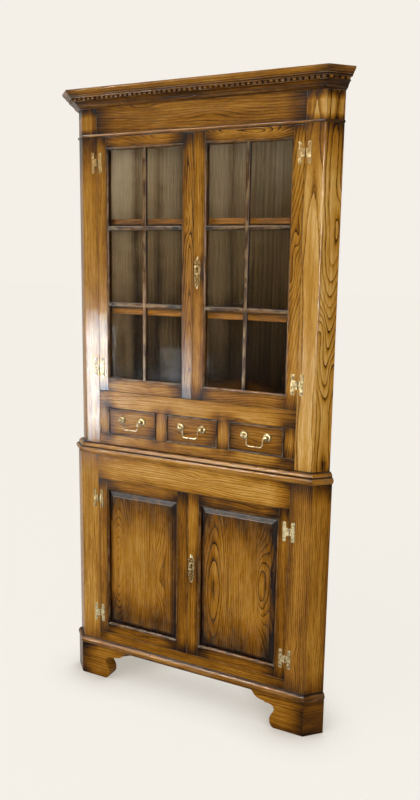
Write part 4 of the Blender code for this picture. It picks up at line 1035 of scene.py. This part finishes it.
UPPER_TONES = {
    "left": {"left_stile": 0.07, "right_stile": 0.02, "foot_rail": 0.08, "head_rail": 0.0},
    "right": {"left_stile": 0.10, "right_stile": 0.17, "foot_rail": 0.06, "head_rail": 0.14},
}
UPPER_LOGS = {
    "left": {"head_rail": dict(log=(-0.035, 0.020, 0.12), spacing=0.0080, force=1.1),
             "right_stile": dict(log=(0.002, 0.012, 0.060), spacing=0.0075, force=1.9,
                                 eyes=((0.14, 0.0, 0.010, 2.0),))},
    "right": {"head_rail": dict(log=(-0.030, 0.010, 0.02), spacing=0.0070, force=1.9,
                                eyes=((0.030, 0.002, 0.018, 5.0), (-0.07, 0.010, 0.014, 3.0))),
              "right_stile": dict(log=(0.040, 0.020, 0.190), spacing=0.0090, force=1.3,
                                  eyes=((0.10, 0.010, 0.012, 2.0), (-0.02, -0.008, 0.012, 1.4)))},
}


def add_upper_door(name, side):
    body = f"upper_{name}_door"
    nodes = [f"upper_door_frame_{name}"]
    face = FRONT_Y
    bounds = door_bounds(UPPER_HALF, UPPER_FOOT, UPPER_HEAD, side)
    sight = sight_of(bounds, side, 0.0392, 0.0412, 0.0445, 0.0374)
    add_frame(body, bounds, sight, face, nodes, UPPER_TONES[name], UPPER_LOGS[name],
              {"left_stile": POLISHED_OAK, "right_stile": POLISHED_OAK} if side < 0 else {})
    left, foot, right, head = sight
    middle = (left + right) / 2
    rows = [foot + (head - foot) * row / 3 for row in (1, 2)]
    add_bar(f"{body}_upright_bar", foot - 0.001, head + 0.001, middle, face, UPRIGHT, body, nodes)
    for index, height in enumerate(rows, 1):
        add_bar(f"{body}_level_bar_{index}", left - 0.001, right + 0.001, height, face, LEVEL,
                body, nodes, 0.0003)
    fin, lap = 0.0024, 0.004
    columns = ((left - lap, middle - fin), (middle + fin, right + lap))
    levels = ((foot - lap, rows[0] - fin), (rows[0] + fin, rows[1] - fin),
              (rows[1] + fin, head + lap))
    panes = [(column, level) for level in levels for column in columns]
    for number, ((start, end), (low, high)) in enumerate(panes, 1):
        tilt = 0.0004 * math.sin(2.7 * number + side)
        lean = 0.0004 * math.cos(1.9 * number)
        corners = ((start, low), (end, low), (end, high), (start, high))
        shifts = (tilt + lean, lean - tilt, -tilt - lean, tilt - lean)
        rings = [[(x, face + GLASS_FACE + SEAT + depth + shift * 0.35, z)
                  for (x, z), shift in zip(corners, shifts)] for depth in (0.0002, 0.0026)]
        make(f"{body}_pane_{number}", stack(rings), GLASS, UPRIGHT, body,
             [f"upper_door_glass_{name}"])


LOWER_TONES = {
    "left": {"left_stile": 0.0, "right_stile": -0.10, "foot_rail": -0.04, "head_rail": 0.0},
    "right": {"left_stile": 0.04, "right_stile": -0.04, "foot_rail": -0.06, "head_rail": -0.02},
}
PANEL_LOGS = {
    "left": dict(log=(-0.092, 0.045, 0.0), spacing=0.0070, force=1.5,
                 eyes=((-0.043, -0.092, 0.042, -9.5), (-0.030, 0.058, 0.024, 4.0))),
    "right": dict(log=(-0.080, 0.060, 0.0), spacing=0.0076, force=1.4,
                  eyes=((-0.027, -0.080, 0.062, -6.5), (0.015, 0.074, 0.036, 8.5))),
}


def add_lower_door(name, side):
    body = f"lower_{name}_door"
    face = FRONT_Y - STEP
    bounds = door_bounds(LOWER_HALF, LOWER_FOOT, LOWER_HEAD, side)
    sight = sight_of(bounds, side, 0.0382, 0.0438, 0.0384, 0.0388)
    add_frame(body, bounds, sight, face, [f"lower_door_frame_{name}"], LOWER_TONES[name], {},
              {"left_stile": WAXED_OAK} if side < 0 else {})
    left, foot, right, head = sight
    field = PANEL_FACE + SEAT - 0.0080
    rings, values = [], []
    # Painted light by ring: darker in the groove under the frame and in the crease below the
    # field's lip, as dirt and painted shade; paler on the field and most on its arris, as wear and
    # a painted highlight
    for grow, depth, grime_and_painted_light in (
            (0.0064, 0.0165, 0.0), (0.0064, PANEL_FACE + SEAT, 0.8),
            (-SEAT, PANEL_FACE + SEAT, 0.9), (-0.0070, PANEL_FACE - 0.0024, 0.25),
            (-0.0150, field + 0.0022, 0.15), (-0.0165, field + 0.0014, 0.55),
            (-0.0167, field + 0.0002, -0.6), (-0.0177, field, -0.2)):
        corners = ((left - grow, foot - grow), (right + grow, foot - grow),
                   (right + grow, head + grow), (left - grow, head + grow))
        rings.append([(x, face + depth, z) for x, z in corners])
        values += [grime_and_painted_light] * 4
    make(f"{body}_fielded_panel", stack(rings), OAK, UPRIGHT, body,
         [f"lower_door_panel_{name}"], burn=(0.52, 0.44, 0.30, 0.34),
         tone=0.07 if side < 0 else 0.02, grime_and_painted_light=lambda mesh: values, spread=2.2,
         accent=(WAXED_OAK, range(8, 20)), **PANEL_LOGS[name])


# Drawers


def add_drawer(name, left, right):
    """A front with cock beads mitred round it, two sides, a rear and a bottom."""
    body = f"{name}_drawer"
    nodes = [f"drawer_{name}"]
    low, high = DRAWER_FOOT + DRAWER_PLAY, DRAWER_HEAD - DRAWER_PLAY
    left, right = left + DRAWER_PLAY, right - DRAWER_PLAY
    front, start = FRONT_Y, FRONT_Y + DRAWER_FRONT
    inset = 0.0044
    board(f"{body}_front", (left + inset, front, low + inset),
          (right - inset, start, high - inset), LEVEL, body, nodes, bevel=0.0004,
          burn=(0.26, 0.26, 0.20, 0.20), tone=-0.04 if name == "right" else 0.01,
          spacing=0.0070, force=0.8, spread=0.6)
    section = [(0.0, DRAWER_FRONT), (0.0, -0.0014), (0.0005, -0.0024), (0.0014, -0.0030),
               (0.0030, -0.0030), (0.0041, -0.0024), (0.0046, -0.0012), (0.0050, 0.0003),
               (0.0050, DRAWER_FRONT)]
    # Paler at the bead's nose, as wear and a painted highlight; darker where it meets the drawer's
    # face, as dirt and painted shade
    worn = [0.4, 0.2, -0.5, -0.9, -0.9, -0.3, 0.3, 0.9, 0.3]
    mitred(body, "cock_bead", (left, low, right, high), section, -1, front, nodes, worn,
           smooth=45, burn=(0.2, 0.2, 0, 0), tone=-0.40)
    wall, below, sheet = 0.0080, 0.0120, 0.0060
    back, foot, head = front + DRAWER_DEPTH[name], DRAWER_FOOT + SEAT, high - below
    for label, near, far, axes, bevel in (
            ("left_side", (left, start, foot), (left + wall, back, head), DEPTH_UP, 0.0006),
            ("right_side", (right - wall, start, foot), (right, back, head), DEPTH_UP, 0.0006),
            ("rear", (left + wall, back - wall, foot), (right - wall, back, head), LEVEL, 0.0006),
            ("bottom", (left + wall, start, foot), (right - wall, back - wall, foot + sheet),
             DEPTHWISE, 0.0)):
        board(f"{body}_{label}", near, far, axes, body, nodes, material=BACK_OAK, bevel=bevel,
              tone=0.12)


# Brass


def lathe(profile, centre, sides, builder=None):
    """Turned about a line that points at the front. The profile is radius and depth."""
    x0, y0, z0 = centre
    return stack([[(x0 + x, y0 + depth, z0 + z) for x, z in circle(sides, radius)]
                  for radius, depth in profile], builder)


def drum(builder, x, y, low, high):
    """A hinge's knuckle, with softened ends."""
    worn = 0.0004
    levels = ((low, 0.86), (low + worn, 1.0), (high - worn, 1.0), (high, 0.86))
    return stack([[(x + a * share, y + b * share, z) for a, b in circle(20, KNUCKLE)]
                  for z, share in levels], builder)


HINGE_TONES = {
    ("upper", "left", "bottom"): -0.18, ("upper", "left", "top"): -0.36,
    ("upper", "right", "bottom"): -0.20, ("upper", "right", "top"): -0.30,
    ("lower", "left", "bottom"): -0.08, ("lower", "left", "top"): -0.28,
    ("lower", "right", "bottom"): -0.12, ("lower", "right", "top"): -0.06,
}


def add_hinge(stage, side_name, place, side, half, face, z):
    """An H hinge: a leaf on the frame with two knuckles, and one on the door with the third."""
    x = side * (half - DOOR_GAP / 2)
    back = face - SEAT
    y = back - KNUCKLE
    front = back - 0.0014
    inside, strap, outer = KNUCKLE + 0.0002, 0.00825, 0.01925
    web, tall, cut, screw, shy = 0.0115, 0.03075, 0.0012, 0.0215, 0.0002
    outline = [(inside, -web), (strap, -web), (strap, -tall + cut), (strap + cut, -tall),
               (outer - cut, -tall), (outer, -tall + cut), (outer, tall - cut),
               (outer - cut, tall), (strap + cut, tall), (strap, tall - cut), (strap, web),
               (inside, web)]
    middle, gap = 0.0046, 0.0049
    for leaf, way, body, knuckles in (
            ("frame", side, "cabinet", ((-web, -gap), (gap, web))),
            ("door", -side, f"{stage}_{side_name}_door", ((-middle, middle),))):
        node = f"{stage}_{side_name}_{place}_hinge_{leaf}_leaf"
        builder = facing([(x + way * a, z + b) for a, b in outline], back - 0.0015, back)
        bmesh.ops.recalc_face_normals(builder, faces=builder.faces)
        edges = [e for e in builder.edges if e.calc_face_angle(0) > SHARP
                 and all(v.co.y < back - 0.001 for v in e.verts)]
        bmesh.ops.bevel(builder, geom=edges, offset=0.00035, segments=2, affect="EDGES")
        centres = [Vector((x + way * (strap + outer) / 2, front, z + offset))
                   for offset in (-screw, screw)]
        for centre in centres:
            lathe(SCREW, centre, 20, builder)
        near, far = sorted((x, x + way * (inside + 0.0006)))
        for low, high in knuckles:
            drum(builder, x, y, z + low, z + high)
            block((near, front, z + low + shy), (far, back - shy, z + high - shy), builder)

        def screw_dirt(mesh):
            return [1.0 if min((v.co - c).length for c in centres) < 0.0023 else -0.1
                    for v in mesh.vertices]

        make(node + "_brass", builder, BRASS, UPRIGHT, body, [node], smooth=35,
             tone=HINGE_TONES[stage, side_name, place], grime_and_painted_light=screw_dirt)


ESCUTCHEON_SHARES = (
    (0.10, 1.00), (0.26, 0.97), (0.30, 0.92), (0.24, 0.87), (0.42, 0.79), (0.62, 0.70),
    (0.86, 0.64), (1.00, 0.59), (0.92, 0.54), (0.80, 0.50), (0.72, 0.40), (0.80, 0.26),
    (0.86, 0.12), (0.84, -0.02), (0.74, -0.12), (0.70, -0.19), (0.80, -0.26), (0.72, -0.32),
    (0.68, -0.37), (0.84, -0.45), (0.86, -0.52), (0.72, -0.58), (0.64, -0.64), (0.66, -0.70),
    (0.52, -0.80), (0.36, -0.88), (0.28, -0.93), (0.24, -0.97), (0.10, -1.00),
)
PIERCING_SHARES = (
    (0.00, 0.69, 0.20, 0.090), (-0.38, 0.49, 0.20, 0.070), (0.38, 0.49, 0.20, 0.070),
    (-0.35, -0.20, 0.19, 0.075), (0.35, -0.20, 0.19, 0.075), (0.00, -0.36, 0.17, 0.060),
    (-0.42, -0.43, 0.15, 0.055), (0.42, -0.43, 0.15, 0.055), (0.00, -0.55, 0.19, 0.065),
    (-0.38, -0.60, 0.13, 0.045), (0.38, -0.60, 0.13, 0.045), (0.00, -0.75, 0.18, 0.070),
)


def add_escutcheon(stage, across, up, face):
    """Cut from sheet brass: a pierced plate with softened edges and two pins."""
    half_width, half_height = PLATE_WIDTH / 2, PLATE_HEIGHT / 2
    rim = [(a * half_width, b * half_height) for a, b in ESCUTCHEON_SHARES]
    rim += flip(reversed(rim), -1)
    pierced = [[((a + wide * x) * half_width, (b + tall * z) * half_height)
                for x, z in circle(12)] for a, b, wide, tall in PIERCING_SHARES]
    curve = bpy.data.curves.new("plate", "CURVE")
    curve.dimensions = "2D"
    curve.fill_mode = "BOTH"
    curve.extrude = 0.00045
    curve.bevel_depth = 0.00028
    curve.bevel_resolution = 1
    curve.offset = -curve.bevel_depth
    for loop in (rim, *pierced, keyhole(KEYHOLE_UP)):
        spline = curve.splines.new("POLY")
        spline.points.add(len(loop) - 1)
        for point, (x, z) in zip(spline.points, loop):
            point.co = (x, z, 0, 1)
        spline.use_cyclic_u = True
    builder = evaluated(linked("plate", curve))
    depth = face - SEAT - 0.0007
    for vert in builder.verts:
        x, z, y = vert.co
        vert.co = (across + x, depth - y, up + z)
    bmesh.ops.remove_doubles(builder, verts=builder.verts, dist=1e-6)
    for height in (0.97 * half_height - 0.0012, -0.955 * half_height + 0.0012):
        lathe(PIN, (across, depth, up + height), 14, builder)

    def inner_dirt(mesh):
        return [1.6 if min(math.hypot(v.co.x - across - x, v.co.z - up - z) for x, z in rim)
                > 0.0011 else -0.2 for v in mesh.vertices]

    make(f"{stage}_lock_plate", builder, BRASS, UPRIGHT, f"{stage}_right_door",
         [f"{stage}_escutcheon"], smooth=35, tone=-0.26 if stage == "upper" else -0.08,
         grime_and_painted_light=inner_dirt)


ROSE = (
    (0.00160, -0.0173, -0.3), (0.00300, -0.0165, -0.2), (0.00420, -0.0150, -0.1),
    (0.00490, -0.0132, 0.0), (0.00510, -0.0116, 0.1), (0.00470, -0.0098, 0.3),
    (0.00380, -0.0084, 0.7), (0.00330, -0.0074, 1.0), (0.00360, -0.0068, 0.9),
    (0.00500, -0.0064, 0.4), (0.00560, -0.0058, 0.5), (0.00580, -0.0052, 1.0),
    (0.00620, -0.0056, 0.6), (0.00800, -0.0058, -0.2), (0.00980, -0.0049, -0.2),
    (0.01100, -0.0036, 0.3), (0.01150, -0.0026, 1.0), (0.01190, -0.0030, 0.6),
    (0.01300, -0.0028, -0.2), (0.01375, -0.0018, 0.2), (0.01375, -0.0004, 0.5),
    (0.01200, -0.0003, 0.5),
)
BAIL_SHARES = (
    (0.860, 0.000, 1.00), (0.760, 0.030, 0.90), (0.695, 0.150, 0.95), (0.690, 0.340, 1.00),
    (0.700, 0.580, 1.05), (0.675, 0.800, 1.10), (0.580, 0.950, 1.18), (0.420, 1.000, 1.30),
    (0.000, 0.985, 1.45),
)
COLLAR = ((-0.0016, 0.0018), (-0.0010, 0.0028), (0.0, 0.0032), (0.0010, 0.0028), (0.0016, 0.0018))
SCREW = ((0.000525, -0.00052), (0.00168, -0.00040), (0.0021, -0.00012), (0.00189, 0.0004))
PIN = ((0.0002, -0.00105), (0.0010, -0.0009), (0.0013, -0.0006), (0.0013, 0.0003))


def add_rose(name, side_name, centre):
    """A turned rose with a ribbed rim, its shank and the nut inside the drawer."""
    sides = 40
    rings, dirt = [], []
    for radius, depth, grime_and_painted_light in ROSE:
        ring = []
        for k in range(sides):
            angle = 2 * math.pi * k / sides
            rib = 1.0 + 0.10 * math.cos(10 * angle) if 0.0060 < radius < 0.0112 else 1.0
            ring.append((centre + radius * math.cos(angle), FRONT_Y + depth * rib,
                         HANDLE_Z + radius * math.sin(angle)))
        rings.append(ring)
        dirt += [grime_and_painted_light] * sides
    builder = stack(rings)
    for radius, start, end, corners in ((0.0020, 0.0, 0.0163, 14), (0.0050, 0.0163, 0.0193, 6)):
        lathe([(radius, start), (radius, end)], (centre, FRONT_Y, HANDLE_Z), corners, builder)
        dirt += [0.4] * 2 * corners
    make(f"handle_{name}_{side_name}_turned_rose", builder, BRASS, UPRIGHT, f"{name}_drawer",
         [f"handle_{name}_rose_{side_name}"], smooth=40, grime_and_painted_light=lambda mesh: dirt, tone=-0.17)


def smooth_path(points, per=5):
    """A curve through points, rounded between them."""
    result = []
    for index in range(len(points) - 1):
        before = points[max(index - 1, 0)]
        one, two = points[index], points[index + 1]
        after = points[min(index + 2, len(points) - 1)]
        for step in range(per):
            t = step / per
            result.append(tuple(
                0.5 * (2 * b + (c - a) * t + (2 * a - 5 * b + 4 * c - d) * t * t
                       + (3 * b - a - 3 * c + d) * t ** 3)
                for a, b, c, d in zip(before, one, two, after)))
    result.append(points[-1])
    return result


def add_bail(name, middle):
    """The swan-neck bail, swelling at its grip, with a collar at each end."""
    reach = HANDLE_SPAN / 2
    half = [(reach - 0.00105, 0.0, 1.0)]
    half += [(reach * a, -BAIL_DROP * b, swell) for a, b, swell in BAIL_SHARES]
    path = smooth_path(half + flip(reversed(half[:-1]), -1))
    sides = 14
    builder = bmesh.new()
    rings = []
    for index, (x, z, swell) in enumerate(path):
        ahead = Vector(path[min(index + 1, len(path) - 1)][:2])
        behind = Vector(path[max(index - 1, 0)][:2])
        along = (ahead - behind).normalized()
        rings.append([(middle + x - along.y * out, FRONT_Y - POST_REACH + back,
                       HANDLE_Z + z + along.x * out)
                      for out, back in circle(sides, 0.0017 * swell)])
    stack(rings, builder)
    for sense in (-1, 1):
        stack([[(middle + sense * reach * 0.80 + offset, FRONT_Y - POST_REACH + back,
                 HANDLE_Z - 0.0006 + rise) for rise, back in circle(sides, radius)]
               for offset, radius in COLLAR], builder)
    make(f"handle_{name}_swan_neck", builder, BRASS, LEVEL, f"{name}_handle",
         [f"handle_{name}_bail"], smooth=50, tone=-0.10)


# The whole

POST_LOOKS = {
    ("upper", "left"): (dict(burn=(0.15, 0.0, 0.06, 0.12), tone=0.07, force=0.9),
                        dict(burn=(0.15, 0.10, 0.10, 0.10))),
    ("upper", "right"): (dict(burn=(0.10, 0.0, 0.05, 0.0), tone=0.24, log=(0.002, 0.0197, 0.1000),
                              spacing=0.0200, force=1.0, eyes=(), start=0.10),
                         dict(burn=(0.12, 0.0, 0.0, 0.12), tone=0.22, start=-0.36, halt=0.06,
                              log=(0.004, 0.0260, -0.200), spacing=0.0085, force=1.9,
                              eyes=((0.15, 0.026, 0.020, -2.6), (-0.13, -0.016, 0.014, 1.7),
                                    (-0.26, 0.018, 0.013, 1.5)))),
    ("lower", "left"): (dict(burn=(0.22, 0.26, 0.10, 0.10), tone=0.15),
                        dict(burn=(0.2, 0.2, 0.1, 0.1))),
    ("lower", "right"): (dict(burn=(0.18, 0.30, 0.16, 0.10), tone=-0.02, force=1.4),
                         dict(burn=(0.24, 0.36, 0.05, 0.20), tone=0.02, force=1.4)),
}
# Each stage's step forward, half width between the posts, foot and head
STAGES = {
    "upper": (0.0, UPPER_HALF, WAIST_HEAD + SEAT, CARCASS_HEAD - SEAT),
    "lower": (STEP, LOWER_HALF, PLINTH_HEAD + SEAT, WAIST_FOOT - SEAT),
}
HINGE_Z = {
    "upper": {"bottom": UPPER_FOOT + 0.0760, "top": UPPER_HEAD - 0.0760},
    "lower": {"bottom": LOWER_FOOT + 0.0700, "top": LOWER_HEAD - 0.0700},
}

for hand, way in SIDES:
    for tier, (forward, half_width, foot_z, head_z) in STAGES.items():
        add_post(tier, hand, way, forward, half_width, (foot_z, head_z), *POST_LOOKS[tier, hand])
add_backs("upper", 0.0, STAGES["upper"][2], STAGES["upper"][3], False)
add_backs("lower", STEP, 0.0, STAGES["lower"][3], True)
add_cornice()
add_frieze()
add_face_frame()
add_waist()
add_lower_face()
add_plinth()

for hand, way in SIDES:
    add_upper_door(hand, way)
    add_lower_door(hand, way)
    for tier, (forward, half_width, _, _) in STAGES.items():
        for end_name, height in HINGE_Z[tier].items():
            add_hinge(tier, hand, end_name, way, half_width, FRONT_Y - forward, height)
for tier, (forward, *_) in STAGES.items():
    add_escutcheon(tier, MEETING_GAP / 2 + LOCK_IN, LOCK_UP[tier], FRONT_Y - forward)

for drawer, near_x, far_x in (("left", -DRAWER_END, -DRAWER_START),
                              ("middle", -DRAWER_MIDDLE, DRAWER_MIDDLE),
                              ("right", DRAWER_START, DRAWER_END)):
    add_drawer(drawer, near_x, far_x)
    centre_x = (near_x + far_x) / 2
    for hand, way in SIDES:
        add_rose(drawer, hand, centre_x + way * HANDLE_SPAN / 2)
    add_bail(drawer, centre_x)

KEPT = {"display_floor": SHELF_OAK, "display_shelf_low": SHELF_OAK,
        "display_shelf_high": SHELF_OAK, "drawer_deck": INNER_OAK, "cupboard_shelf": INNER_OAK,
        "upper_lock_bolt": STEEL, "lower_lock_bolt": STEEL}
for solid, finish in KEPT.items():
    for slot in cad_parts[solid].material_slots:
        slot.material = finish


# Floor, light and camera

PALE = (0.905, 0.871, 0.807, 1.0)


def add_floor():
    """A pale floor that glows where it is looked at, so that it meets the backdrop unseen. Its
    glow is darkened near the cabinet by ambient occlusion, a painted contact shadow.
    """
    builder = bmesh.new()
    size = 30.0
    corners = [(-size, -size, 0), (size, -size, 0), (size, size, 0), (-size, size, 0)]
    builder.faces.new([builder.verts.new(point) for point in corners])
    floor = meshed("studio_floor", builder)
    g = Graph("pale_floor")
    g.tree.nodes.remove(g.shader)
    # Painted shadow: the glow is mixed towards a dark tan where ambient occlusion finds the cabinet
    # close by
    close = g.node("AmbientOcclusion", samples=8)
    g.fill(close, Distance=0.16)
    near = g.span(close.outputs["AO"], 0.40, 1.0)
    glow = g.node("Emission", g.mix(near, (0.52, 0.48, 0.42, 1.0), PALE), 1.035)
    g.show(g.mul(g.seen(), 0.88), g.node("BsdfDiffuse", PALE), glow)
    floor.data.materials.append(g.owner)


def add_world():
    """A pale backdrop that gives a little less light than it shows."""
    g = Graph("studio", world=True)
    bpy.context.scene.world = g.owner
    g.fill(g.shader, Color=(1.0, 0.985, 0.955, 1.0), Strength=0.46)
    g.show(g.seen(), g.shader, g.node("Background", PALE))


def aim(obj, direction):
    obj.rotation_euler = Vector(direction).to_track_quat("-Z", "Y").to_euler()


def add_lamp(name, place, target, power, size, colour, only):
    data = bpy.data.lights.new(name, "AREA")
    data.shape = "RECTANGLE"
    data.size, data.size_y = size
    data.energy = power
    data.color = colour
    lamp = linked(name, data)
    lamp.location = place
    lamp.visible_diffuse = only != "gloss"
    lamp.visible_glossy = only != "fill"
    aim(lamp, Vector(target) - lamp.location)


def add_sun(name, direction, strength, angle, colour):
    data = bpy.data.lights.new(name, "SUN")
    data.energy = strength
    data.angle = math.radians(angle)
    data.color = colour
    aim(linked(name, data), direction)


def add_camera():
    """The place and lens found from the photo's edges."""
    data = bpy.data.cameras.new("camera")
    camera = linked("camera", data)
    yaw, pitch, roll = 0.4644, -0.1821, 0.0139
    ahead = Vector((-math.sin(yaw) * math.cos(pitch), math.cos(yaw) * math.cos(pitch),
                    math.sin(pitch)))
    right = Vector((math.cos(yaw), math.sin(yaw), 0))
    up = right.cross(ahead)
    level = math.cos(roll) * right + math.sin(roll) * up
    above = -math.sin(roll) * right + math.cos(roll) * up
    matrix = Matrix((level, above, -ahead)).transposed().to_4x4()
    matrix.translation = Vector((1.1143, -2.0979 + FRONT_Y, 1.4508))
    camera.matrix_world = matrix
    focal, tall = 776.0905, 800  # Both in pixels of the photo
    data.sensor_fit = "AUTO"
    data.sensor_width = 36
    data.lens = focal / tall * data.sensor_width
    bpy.context.scene.camera = camera


# Name, place, target, watts, size, colour, and what the lamp does: fill lights the surfaces and
# isn't mirrored, gloss is only mirrored
LAMPS = (
    ("window_fill", (-1.9, -3.0, 0.9), (-0.2, -0.2, 1.0), 26, (1.2, 1.2), (0.95, 0.98, 1.0),
     "fill"),
    ("right_fill", (1.95, -3.3, 1.5), (0.3, -0.2, 1.2), 24, (0.8, 1.6), (1.0, 0.99, 0.96), "fill"),
    ("window", (-1.85, -3.0, 0.40), (-0.2, -0.2, 1.0), 14, (1.0, 0.5), (0.88, 0.95, 1.0), "gloss"),
    ("pane", (-1.55, -3.0, 0.60), (0.0, -0.2, 1.0), 18, (0.26, 0.40), (0.90, 0.95, 1.0), "gloss"),
    ("doorway", (-2.36, -3.0, 0.53), (-0.3, -0.2, 1.0), 145, (0.26, 0.90), (0.78, 0.92, 1.0),
     "gloss"),
    ("skylight", (-7.5, -14.0, 8.75), (0.0, -0.2, 0.7), 2600, (4.6, 2.1), (1.0, 0.98, 0.93),
     "gloss"),
    ("glint", (-3.1, -6.9, 7.2), (0.2, -0.3, 0.2), 1200, (1.4, 0.9), (1.0, 0.92, 0.88), "gloss"),
    ("side_window", (-6.0, -2.4, 1.45), (-0.1, -0.3, 1.35), 22, (0.6, 2.4), (1.0, 0.97, 0.92),
     "gloss"),
    ("ceiling", (-1.7, -1.4, 3.9), (0.0, -0.2, 1.0), 230, (1.6, 0.7), (1.0, 0.95, 0.90), "gloss"),
    ("strip", (1.95, -3.3, 1.55), (0.4, -0.2, 1.5), 330, (0.5, 1.5), (1.0, 1.0, 1.0), "gloss"),
)

add_floor()
add_world()
add_sun("overhead", (0.10, 0.55, -1.0), 0.78, 45, (1.0, 0.98, 0.94))
for lamp_settings in LAMPS:
    add_lamp(*lamp_settings)
add_camera()
bpy.context.scene.view_settings.view_transform = "Standard"
